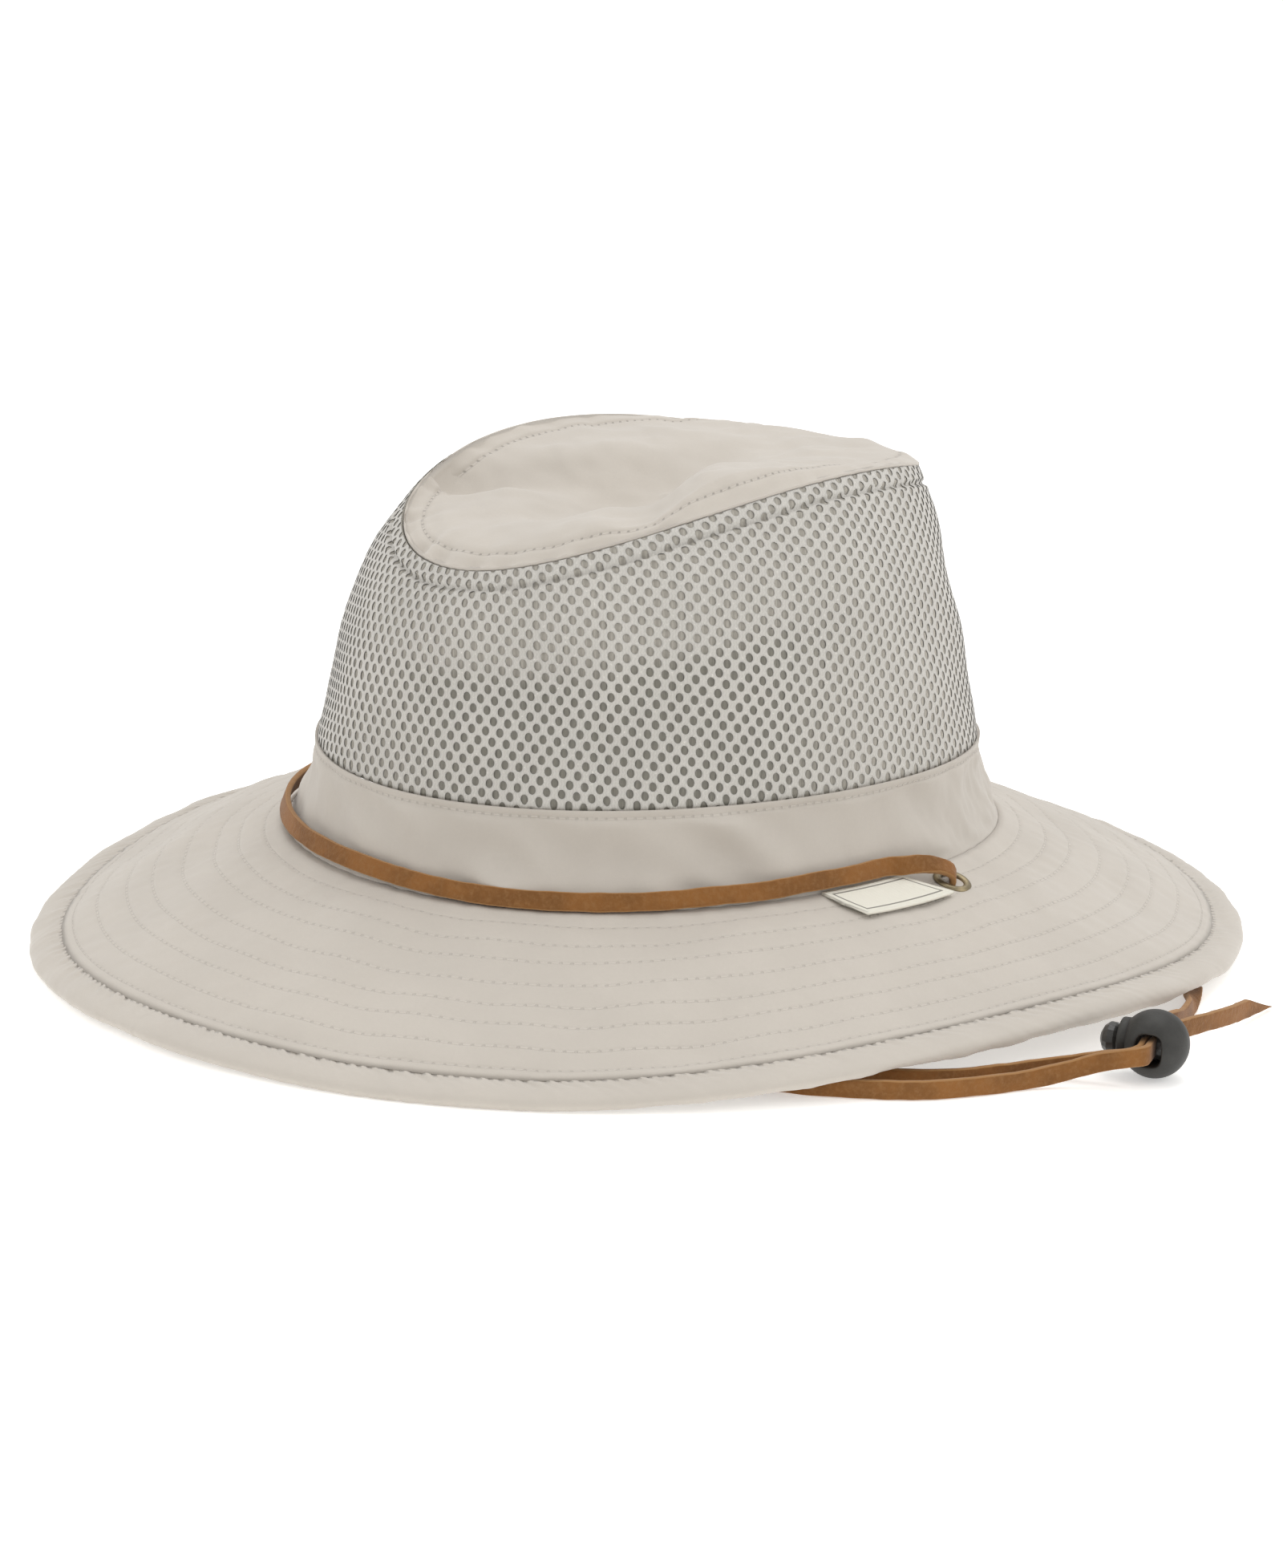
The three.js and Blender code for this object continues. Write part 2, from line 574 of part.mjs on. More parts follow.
// Sections of the label, which lies on the brim just outside the lace and follows the brim's slope.
function labelRows() {
  const rows = [];
  const strides = 6;
  const across = 3;
  for (let i = 0; i <= strides; i += 1) {
    const aside = LABEL.length * (i / strides - 0.5);
    const top = [];
    for (let j = 0; j <= across; j += 1) {
      const bearing = radians(LABEL.bearing) - aside / CROWN_BASE.halfLength;
      const inner = brimPoint(bearing, 0);
      const span = brimPoint(bearing, 1).sub(inner);
      const out = 1 + (LABEL.width * j) / across;
      const along = out / Math.hypot(span.x, span.y);
      top.push(brimPoint(bearing, along).add(new THREE.Vector3(0, 0, GAP)));
    }
    const lifted = top.map((p) => p.clone().setZ(p.z + LABEL.thickness));
    rows.push([...lifted, ...top.reverse()]);
  }
  return rows;
}

// A strip of sections closed at both ends by a fan.
function stripBody(rows) {
  const size = rows[0].length;
  const positions = rows.flat().flatMap((p) => [p.x, p.y, p.z]);
  const index = [];
  for (let i = 0; i < rows.length - 1; i += 1) {
    for (let j = 0; j < size; j += 1) {
      const a = i * size + j;
      const b = i * size + ((j + 1) % size);
      index.push(a, a + size, b, b, a + size, b + size);
    }
  }
  const end = (rows.length - 1) * size;
  for (let j = 0; j < size / 2 - 1; j += 1) {
    const k = size - 1 - j;
    index.push(j, j + 1, k, j + 1, k - 1, k);
    index.push(end + j, end + k, end + j + 1, end + j + 1, end + k, end + k - 1);
  }
  const geometry = new THREE.BufferGeometry();
  geometry.setAttribute('position', new THREE.Float32BufferAttribute(positions, 3));
  geometry.setIndex(index);
  return faceOutwards(geometry);
}

const hat = new THREE.Group();

function addPiece(name, geometry, look) {
  const mesh = new THREE.Mesh(geometry, look);
  mesh.name = name;
  hat.add(mesh);
  return mesh;
}

addPiece('crown_tip', tipBody(), CLOTH());
addPiece('crown_mesh', clothRing(wallPoint, spread(6), MESH_THICKNESS, FLAT_EDGE), MESH_CLOTH());
addPiece('hat_band', clothRing(bandPoint, spread(3), BAND_THICKNESS, FLAT_EDGE), CLOTH());
addPiece('brim', brimBody(), CLOTH());
addPiece('brim_hem', hemBody(), CLOTH());
addPiece('eyelet_left', eyeletGeometry(1), ANTIQUE_BRASS());
addPiece('eyelet_right', eyeletGeometry(-1), ANTIQUE_BRASS());
addPiece('crown_lace', laceGeometry(crownLaceRows(), 60), SUEDE());
addPiece('chin_lace_left', laceGeometry(LEFT_LACE_ROUTE, 72), SUEDE());
addPiece('chin_lace_right', laceGeometry(RIGHT_LACE_ROUTE, 80), SUEDE());
addPiece('label_tab', stripBody(labelRows()), LABEL_CLOTH());
placeLockPiece(addPiece('cord_lock', lockGeometry(), DARK_PLASTIC()));
placeLockPiece(addPiece('lock_plunger', plungerGeometry(), DARK_PLASTIC()));

export default hat;
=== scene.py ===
"""Looks of a safari hat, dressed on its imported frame.

Cloth, mesh and suede are grids worked out with numpy from the same sizes as the solids, in millimetres,
and turned into metres when a mesh is made. Every finish is procedural.
"""

from __future__ import annotations

import json
import logging
from dataclasses import dataclass, field
from enum import Enum
from typing import Any

import bmesh
import bpy
import numpy as np
from mathutils import Matrix, Vector

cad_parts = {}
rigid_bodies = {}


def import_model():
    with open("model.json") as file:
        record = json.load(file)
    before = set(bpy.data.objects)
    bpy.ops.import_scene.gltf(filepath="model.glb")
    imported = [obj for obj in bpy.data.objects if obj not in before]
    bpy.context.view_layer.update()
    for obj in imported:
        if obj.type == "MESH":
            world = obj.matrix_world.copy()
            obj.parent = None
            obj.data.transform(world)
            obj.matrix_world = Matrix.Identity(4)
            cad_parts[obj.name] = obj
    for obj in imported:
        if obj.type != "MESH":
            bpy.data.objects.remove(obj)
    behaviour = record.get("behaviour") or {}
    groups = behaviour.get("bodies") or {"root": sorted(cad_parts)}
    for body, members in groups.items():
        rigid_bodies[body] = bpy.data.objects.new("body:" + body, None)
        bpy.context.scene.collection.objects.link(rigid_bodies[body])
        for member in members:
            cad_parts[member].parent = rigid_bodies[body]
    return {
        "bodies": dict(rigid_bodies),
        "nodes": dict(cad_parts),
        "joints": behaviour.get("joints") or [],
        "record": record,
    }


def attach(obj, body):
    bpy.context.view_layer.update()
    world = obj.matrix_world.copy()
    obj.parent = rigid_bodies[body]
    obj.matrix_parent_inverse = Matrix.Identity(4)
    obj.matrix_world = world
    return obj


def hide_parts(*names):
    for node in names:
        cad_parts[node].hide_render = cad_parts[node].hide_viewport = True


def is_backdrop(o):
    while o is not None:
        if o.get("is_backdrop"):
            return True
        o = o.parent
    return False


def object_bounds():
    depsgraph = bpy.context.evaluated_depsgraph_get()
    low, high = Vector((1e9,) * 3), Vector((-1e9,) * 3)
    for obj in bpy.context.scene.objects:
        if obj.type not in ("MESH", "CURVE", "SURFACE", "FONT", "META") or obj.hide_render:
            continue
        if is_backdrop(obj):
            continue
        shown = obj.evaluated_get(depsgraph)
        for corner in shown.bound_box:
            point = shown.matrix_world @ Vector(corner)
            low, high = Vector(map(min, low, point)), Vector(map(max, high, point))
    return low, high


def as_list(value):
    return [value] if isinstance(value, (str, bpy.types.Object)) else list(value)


Array = np.ndarray
LOG = logging.getLogger("safari_hat")
MM = 0.001
TURN = 2 * np.pi


# Small numeric helpers


def blend(a: Array | float, b: Array | float, t: Array | float) -> Array:
    """Mix of a and b in the share t."""
    return a + (b - a) * t


def ease(value: Array, low: float, high: float) -> Array:
    """Smooth step from 0 at low to 1 at high."""
    t = np.clip((value - low) / (high - low), 0, 1)
    return t * t * (3 - 2 * t)


def bump(value: Array, middle: float, spread: float) -> Array:
    """Bell of height 1 at a middle."""
    return np.exp(-(((value - middle) / spread) ** 2))


def unit(vectors: Array) -> Array:
    """Vectors scaled to length 1."""
    return vectors / np.maximum(np.linalg.norm(vectors, axis=-1, keepdims=True), 1e-12)


@dataclass(frozen=True)
class Bell:
    """Bell curve: height times e to the minus square of (value - middle) / spread."""

    height: float
    middle: float
    spread: float

    def at(self, value: Array) -> Array:
        """Height of the curve at a value."""
        return self.height * bump(value, self.middle, self.spread)


@dataclass(frozen=True)
class Ripples:
    """Seeded sum of plane waves: soft unevenness of cloth.

    The value is the sum over all waves of cos(k . p + phase), divided by the root of half their number.
    """

    seed: int
    shortest: float
    longest: float
    stretch: tuple[float, float, float] = (1.0, 1.0, 1.0)
    count: int = 20

    def at(self, points: Array) -> Array:
        """Value at points.

        Args:
            points: places in millimetres, last axis of size 3.

        Returns:
            Values of about -2 to 2, one for each point.
        """
        rng = np.random.default_rng(self.seed)
        heading = unit(rng.normal(size=(self.count, 3)) * np.array(self.stretch))
        length = np.exp(rng.uniform(np.log(self.shortest), np.log(self.longest), self.count))
        phase = rng.uniform(0, TURN, self.count)
        waves = TURN * heading / length[:, None]
        total = np.zeros(points.shape[:-1])
        for wave, shift in zip(waves, phase):
            total += np.cos(points @ wave + shift)
        return total / np.sqrt(self.count / 2)


# Form of the hat


@dataclass(frozen=True)
class Oval:
    """Oval seen from above."""

    half_width: float
    half_length: float
    back: float
    square: float

    def at(self, bearing: Array, margin: float | Array = 0.0) -> tuple[Array, Array]:
        """Point of the oval at a bearing.

        The radius is (|cos|^n + |sin|^n)^(-1/n) times the half sizes; y falls towards the front.

        Args:
            bearing: radians from the left side towards the front.
            margin: growth of the oval in millimetres.

        Returns:
            x and y in millimetres.
        """
        c, s = np.cos(bearing), np.sin(bearing)
        size = (np.abs(c) ** self.square + np.abs(s) ** self.square) ** (-1 / self.square)
        return (self.half_width + margin) * c * size, self.back - (self.half_length + margin) * s * size


@dataclass(frozen=True)
class Level:
    """Height of a line round the hat: a mean and three harmonics."""

    mean: float
    front: float = 0.0
    sides: float = 0.0
    quarters: float = 0.0

    def at(self, bearing: Array) -> Array:
        """Height in millimetres at a bearing."""
        return (
            self.mean
            + self.front * np.sin(bearing)
            + self.sides * np.cos(2 * bearing)
            + self.quarters * np.cos(4 * bearing)
        )


def stack(x: Array, y: Array, z: Array) -> Array:
    """Points from three arrays that may need broadcasting."""
    return np.stack(np.broadcast_arrays(x, y, z), axis=-1)


@dataclass(frozen=True)
class HatForm:
    """The sizes and the surfaces that every cloth piece follows, in millimetres and degrees.

    straight and shoulder shape the mesh wall; ridge, fall, groove and crease shape the crown's top.
    """

    edge: Oval = Oval(155, 178, 0, 2.0)
    base: Oval = Oval(91, 100.5, -2, 2.1)
    band_top: Oval = Oval(84.1, 96.4, -0.9, 2.0)
    tip_seam: Oval = Oval(51.6, 81, 1.3, 2.1)
    edge_level: Level = Level(4.9, 0, 3.4, 2.3)
    base_level: Level = Level(33.9, -1.4, 0.9)
    band_level: Level = Level(58, 0, 1.5)
    seam_level: Level = Level(126.4, -5.4, 7.7)
    gap: float = 0.3
    hem_width: float = 8.3
    hem_radius: float = 2.0
    hem_rise: float = 3.8
    rest_height: float = 2.3
    brim_curl: float = 0.18
    straight_back: float = 0.81
    straight_front: float = 0.525
    shoulder_back: float = 6.0
    shoulder_front: float = 4.0
    dent_round: Bell = Bell(0.035, 58, 15)
    dent_up: Bell = Bell(1.0, 0.45, 0.3)
    dent_foot: float = 0.2
    seam_lean: float = 0.7
    seam_skew: float = 1.35
    ridge_height: float = 133.7
    ridge_y: float = 10.0
    front_fall: float = 0.0038
    front_reach: float = 150.0
    back_fall: float = 0.0002
    groove_depth: float = 11.0
    groove_half: tuple[float, float] = (13.5, 35.0)
    groove_y: float = -7.4
    crease_depth: float = 6.0
    crease_turn: float = 46.0
    crease_width: float = 9.0
    crease_round: float = 4.0
    crease_start: float = 0.45
    rim_turn: int = 14

    def edge_height(self, bearing: Array) -> Array:
        """Height of the hem's roll, which lies flat where the brim is lowest."""
        return np.maximum(0, self.edge_level.at(bearing) - self.rest_height) + self.hem_radius

    def brim(self, bearing: Array, along: Array) -> Array:
        """Top face of the brim, from the crown at 0 to the hem seam at 1.

        The plan is a straight mix of two ovals; the drop is (1 - curl) t + curl t squared.

        Args:
            bearing: radians from the left side towards the front, a column.
            along: share of the way across, a row.

        Returns:
            Grid of points.
        """
        inner = self.base.at(bearing, self.gap)
        outer = self.edge.at(bearing, -self.hem_width - self.gap)
        drop = (1 - self.brim_curl) * along + self.brim_curl * along * along
        high, low = self.base_level.at(bearing), self.edge_height(bearing) + self.hem_rise
        plan = [blend(inner[i], outer[i], along) for i in (0, 1)]
        return stack(plan[0], plan[1], blend(high, low, drop))

    def band(self, bearing: Array, up: Array) -> Array:
        """Outer face of the hatband, with a flare of (1 - t) squared at its foot.

        Args:
            bearing: radians, a column.
            up: share of the way from foot to top, a row.

        Returns:
            Grid of points.
        """
        flare = (1 - up) ** 2
        top, foot = self.band_top.at(bearing), self.base.at(bearing)
        plan = [blend(top[i], foot[i], flare) for i in (0, 1)]
        height = blend(self.base_level.at(bearing), self.band_level.at(bearing), up)
        return stack(plan[0], plan[1], height)

    def wall(self, bearing: Array, up: Array) -> Array:
        """Outer face of the mesh wall.

        The plan leans from the band's oval to the seam's by w t + (1 - w) t^k, less a soft dent; w and k
        change from the back to the front. The seam stands a little unevenly round the hat.

        Args:
            bearing: radians, a column.
            up: share of the way from band to seam, a row.

        Returns:
            Grid of points.
        """
        forward = 0.5 + 0.5 * np.sin(bearing)
        straight = blend(self.straight_back, self.straight_front, forward)
        shoulder = blend(self.shoulder_back, self.shoulder_front, forward)
        lean = straight * up + (1 - straight) * up**shoulder
        dent = self.dent_round.at(np.degrees(bearing)) * self.dent_up.at(up) * ease(up, 0, self.dent_foot)
        low, top = self.band_top.at(bearing), self.tip_seam.at(bearing)
        plan = [blend(low[i], top[i], lean) * (1 - dent) for i in (0, 1)]
        uneven = self.seam_lean * np.cos(bearing) + self.seam_skew * np.sin(2 * bearing)
        seam = self.seam_level.at(bearing) - uneven
        height = blend(self.band_level.at(bearing) + self.gap, seam, up)
        return stack(plan[0], plan[1], height)

    def tip(self, bearing: Array, out: Array) -> Array:
        """Outer face of the crown's top, from its middle at 0 to its seam at 1.

        The free form is a ridge that falls by a y^2 / (1 + (y / reach)^2) to the front and by a parabola to
        the back, less a bell-shaped groove and two creases. It turns down to the seam by 1 - t^n.

        Args:
            bearing: radians, a column.
            out: share of the way from the middle to the seam, a row.

        Returns:
            Grid of points.
        """
        rim = self.wall(bearing, np.ones_like(bearing))
        x = rim[..., 0] * out
        y = self.tip_seam.back + (rim[..., 1] - self.tip_seam.back) * out
        along = y - self.ridge_y
        front = self.front_fall / (1 + (along / self.front_reach) ** 2)
        free = self.ridge_height - np.where(along < 0, front, self.back_fall) * along**2
        wide, deep = self.groove_half
        free = free - self.groove_depth * bump(x, 0, wide) * bump(y, self.groove_y, deep)
        turn = np.radians(self.crease_turn)
        aside = np.hypot(x, self.crease_round) * np.sin(turn) + y * np.cos(turn)
        free = free - self.crease_depth * ease(out, 0, self.crease_start) * bump(aside, 0, self.crease_width)
        seam = rim[..., 2] + self.gap
        return stack(x, y, blend(seam, free, 1 - out**self.rim_turn))


FORM = HatForm()


def round_bearings(count: int, start: float = 0.0) -> Array:
    """Column of bearings round the hat, one more than the steps so that texture maps can close."""
    return (start + np.linspace(0, TURN, count + 1))[:, None]


# Grids into meshes


def grid_normals(points: Array) -> Array:
    """Unit normals of a grid of points, from the cross product of its two differences."""
    return unit(np.cross(np.gradient(points, axis=0), np.gradient(points, axis=1)))


def arc_length(points: Array, axis: int) -> Array:
    """Distance run along one axis of a grid of points.

    Args:
        points: grid, last axis of size 3.
        axis: the axis to run along.

    Returns:
        Distances from 0, one for each point.
    """
    steps = np.linalg.norm(np.diff(points, axis=axis), axis=-1)
    pad = [(0, 0)] * steps.ndim
    pad[axis] = (1, 0)
    return np.pad(np.cumsum(steps, axis=axis), pad)


@dataclass
class Grid:
    """Rectangular grid of points with a texture place for each, made into one mesh.

    Both flags say that the last row or column repeats the first one, and is merged with it.
    """

    points: Array
    uv: Array
    closed_rows: bool = True
    closed_columns: bool = True

    def to_object(self, name: str, smooth: bool = True) -> bpy.types.Object:
        """Build the mesh object.

        Args:
            name: name of the object.
            smooth: whether its faces are shaded smooth.

        Returns:
            The object, linked to the scene.
        """
        rows, columns = self.points.shape[:2]
        row_count = rows - 1 if self.closed_rows else rows
        column_count = columns - 1 if self.closed_columns else columns
        i, j = np.meshgrid(np.arange(rows - 1), np.arange(columns - 1), indexing="ij")
        corners = [(i, j), (i + 1, j), (i + 1, j + 1), (i, j + 1)]
        index = [(a % row_count) * column_count + b % column_count for a, b in corners]
        faces = np.stack(index, -1).reshape(-1, 4)
        uv = np.stack([self.uv[a, b] for a, b in corners], -2).reshape(-1, 2)
        flat = self.points[:row_count, :column_count].reshape(-1, 3) * MM
        return mesh_object(name, flat, faces, uv, smooth)


def mesh_object(name: str, points: Array, faces: Array, uv: Array, smooth: bool) -> bpy.types.Object:
    """Make a mesh object from quads, merge its doubles and turn its faces outwards.

    Args:
        name: name of the object.
        points: vertices in metres.
        faces: vertex numbers, four for each face.
        uv: a texture place for each face corner.
        smooth: whether its faces are shaded smooth.

    Returns:
        The object, linked to the scene.
    """
    mesh = bpy.data.meshes.new(name)
    mesh.vertices.add(len(points))
    mesh.vertices.foreach_set("co", points.astype(np.float32).ravel())
    mesh.loops.add(faces.size)
    mesh.loops.foreach_set("vertex_index", faces.astype(np.int32).ravel())
    mesh.polygons.add(len(faces))
    mesh.polygons.foreach_set("loop_start", np.arange(0, faces.size, 4, dtype=np.int32))
    mesh.polygons.foreach_set("use_smooth", np.full(len(faces), smooth))
    mesh.uv_layers.new(name="cloth").data.foreach_set("uv", uv.astype(np.float32).ravel())
    mesh.update(calc_edges=True)
    body = bmesh.new()
    body.from_mesh(mesh)
    bmesh.ops.remove_doubles(body, verts=body.verts, dist=1e-6)
    bmesh.ops.recalc_face_normals(body, faces=body.faces)
    body.to_mesh(mesh)
    body.free()
    piece = bpy.data.objects.new(name, mesh)
    bpy.context.scene.collection.objects.link(piece)
    return piece


def shell(name: str, outer: Array, inner: Array, uv: Array, bulge: float = 0.0) -> bpy.types.Object:
    """Closed ring of cloth between an outer and an inner face.

    Args:
        name: name of the object.
        outer: grid of the outer face; rows run round the hat.
        inner: grid of the inner face, whose columns run the same way.
        uv: texture places of the outer face.
        bulge: how far the two cut edges are rounded outwards.

    Returns:
        The object.
    """
    first = 0.5 * (outer[:, :1] + inner[:, :1]) + bulge * unit(outer[:, :1] - outer[:, 1:2])
    last = 0.5 * (outer[:, -1:] + inner[:, -1:]) + bulge * unit(outer[:, -1:] - outer[:, -2:-1])
    points = np.concatenate([first, outer, last, inner[:, ::-1], first], axis=1)
    columns = np.linspace(0, uv.shape[1] - 1, inner.shape[1]).round().astype(int)
    under = uv[:, columns]
    places = np.concatenate([uv[:, :1], uv, uv[:, -1:], under[:, ::-1], uv[:, :1]], axis=1)
    return Grid(points, places).to_object(name)


def join(name: str, pieces: list[bpy.types.Object]) -> bpy.types.Object:
    """Join objects into the first one and name it.

    Args:
        name: name of the whole.
        pieces: objects in one frame; all but the first are removed.

    Returns:
        The joined object.
    """
    body = bmesh.new()
    for piece in pieces:
        body.from_mesh(piece.data)
    body.to_mesh(pieces[0].data)
    body.free()
    for piece in pieces[1:]:
        bpy.data.objects.remove(piece)
    pieces[0].name = name
    return pieces[0]


# Shader graph


class Wire:
    """A number in a shader, combined with others by plain arithmetic."""

    def __init__(self, graph: "Graph", socket: Any) -> None:
        """Keep the graph and the output socket."""
        self.graph = graph
        self.socket = socket

    def __add__(self, other: "Wire | float") -> "Wire":
        """Sum."""
        return self.graph.math("ADD", self, other)

    def __sub__(self, other: "Wire | float") -> "Wire":
        """Difference."""
        return self.graph.math("SUBTRACT", self, other)

    def __rsub__(self, other: float) -> "Wire":
        """Difference from a number."""
        return self.graph.math("SUBTRACT", other, self)

    def __mul__(self, other: "Wire | float") -> "Wire":
        """Product."""
        return self.graph.math("MULTIPLY", self, other)

    def __truediv__(self, other: "Wire | float") -> "Wire":
        """Quotient."""
        return self.graph.math("DIVIDE", self, other)

    def __pow__(self, other: float) -> "Wire":
        """Power."""
        return self.graph.math("POWER", self, other)

    __radd__ = __add__
    __rmul__ = __mul__

    def apply(self, operation: str, *others: "Wire | float") -> "Wire":
        """Any other math operation of the shader, with this wire first."""
        return self.graph.math(operation, self, *others)

    def step(self, low: float, high: float) -> "Wire":
        """Smooth step from 0 at low to 1 at high.

        Args:
            low: value where the step starts.
            high: value where it ends.

        Returns:
            The step as a wire.
        """
        sockets = {"Value": self, "From Min": low, "From Max": high}
        node = self.graph.add("ShaderNodeMapRange", {"interpolation_type": "SMOOTHSTEP"}, sockets)
        return Wire(self.graph, node.outputs["Result"])


Linear = tuple[float, float, float]


class Graph:
    """Node tree of one material round a Principled shader."""

    def __init__(self, name: str) -> None:
        """Start an empty material with its shader and output."""
        self.material = bpy.data.materials.new(name)
        self.material.use_nodes = True
        self.tree = self.material.node_tree
        self.tree.nodes.clear()
        self.shader = self.add("ShaderNodeBsdfPrincipled")
        output = self.add("ShaderNodeOutputMaterial")
        self.tree.links.new(self.shader.outputs["BSDF"], output.inputs["Surface"])

    def add(
        self, kind: str, settings: dict[str, Any] | None = None, sockets: dict[str, Any] | None = None
    ) -> Any:
        """Add a node.

        Args:
            kind: type name of the node.
            settings: properties to set on it.
            sockets: values, wires or sockets for its inputs, by name or number.

        Returns:
            The node.
        """
        node = self.tree.nodes.new(kind)
        for key, value in (settings or {}).items():
            setattr(node, key, value)
        for key, value in (sockets or {}).items():
            self.plug(node.inputs[key], value)
        return node

    def plug(self, target: Any, value: Any) -> None:
        """Set an input socket to a value, or link a wire or a socket to it.

        Args:
            target: the input socket.
            value: a wire, an output socket, a number or a colour.
        """
        source = value.socket if isinstance(value, Wire) else value
        if isinstance(source, bpy.types.NodeSocket):
            self.tree.links.new(source, target)
        elif isinstance(source, tuple) and len(source) == 3 and target.type == "RGBA":
            target.default_value = (*source, 1.0)
        else:
            target.default_value = source

    def math(self, operation: str, *values: Wire | float) -> Wire:
        """Math node as a wire."""
        node = self.add("ShaderNodeMath", {"operation": operation}, dict(enumerate(values)))
        return Wire(self, node.outputs[0])

    def mix(self, factor: Wire | float, a: Any, b: Any) -> Any:
        """Colour mix of a and b, as a socket."""
        node = self.add("ShaderNodeMix", {"data_type": "RGBA"}, {0: factor, 6: a, 7: b})
        return node.outputs[2]

    def place(self) -> Any:
        """Object coordinates, as a socket."""
        return self.add("ShaderNodeTexCoord").outputs["Object"]

    def uv(self) -> tuple[Wire, Wire]:
        """The two numbers of the piece's own texture map."""
        source = self.add("ShaderNodeUVMap", {"uv_map": "cloth"}).outputs["UV"]
        split = self.add("ShaderNodeSeparateXYZ", sockets={0: source})
        return Wire(self, split.outputs["X"]), Wire(self, split.outputs["Y"])

    def noise(self, scale: float, detail: float = 3.0, rough: float = 0.5) -> Wire:
        """Noise over object coordinates, from 0 to 1."""
        sockets = {"Vector": self.place(), "Scale": scale, "Detail": detail, "Roughness": rough}
        return Wire(self, self.add("ShaderNodeTexNoise", sockets=sockets).outputs["Fac"])

    def relief(self, height: Wire, distance: float, strength: float = 1.0) -> None:
        """Feed a height in units of distance (metres) to the shader's normal."""
        sockets = {"Height": height, "Distance": distance, "Strength": strength}
        self.plug(self.shader.inputs["Normal"], self.add("ShaderNodeBump", sockets=sockets).outputs[0])

    def finish(self, **values: Any) -> bpy.types.Material:
        """Set the shader's inputs and return the material.

        Args:
            values: inputs by name, underscores standing for spaces.

        Returns:
            The material.
        """
        for key, value in values.items():
            self.plug(self.shader.inputs[key.replace("_", " ")], value)
        return self.material


class Slot(Enum):
    """Material slots of the record."""

    CLOTH = "cloth"
    MESH = "mesh"
    SUEDE = "suede"
    BRASS = "antique_brass"
    PLASTIC = "dark_plastic"
    LABEL = "label_cloth"


def tint(color: Linear, share: float) -> Linear:
    """Colour made darker or lighter by a share."""
    return tuple(min(1.0, c * share) for c in color)


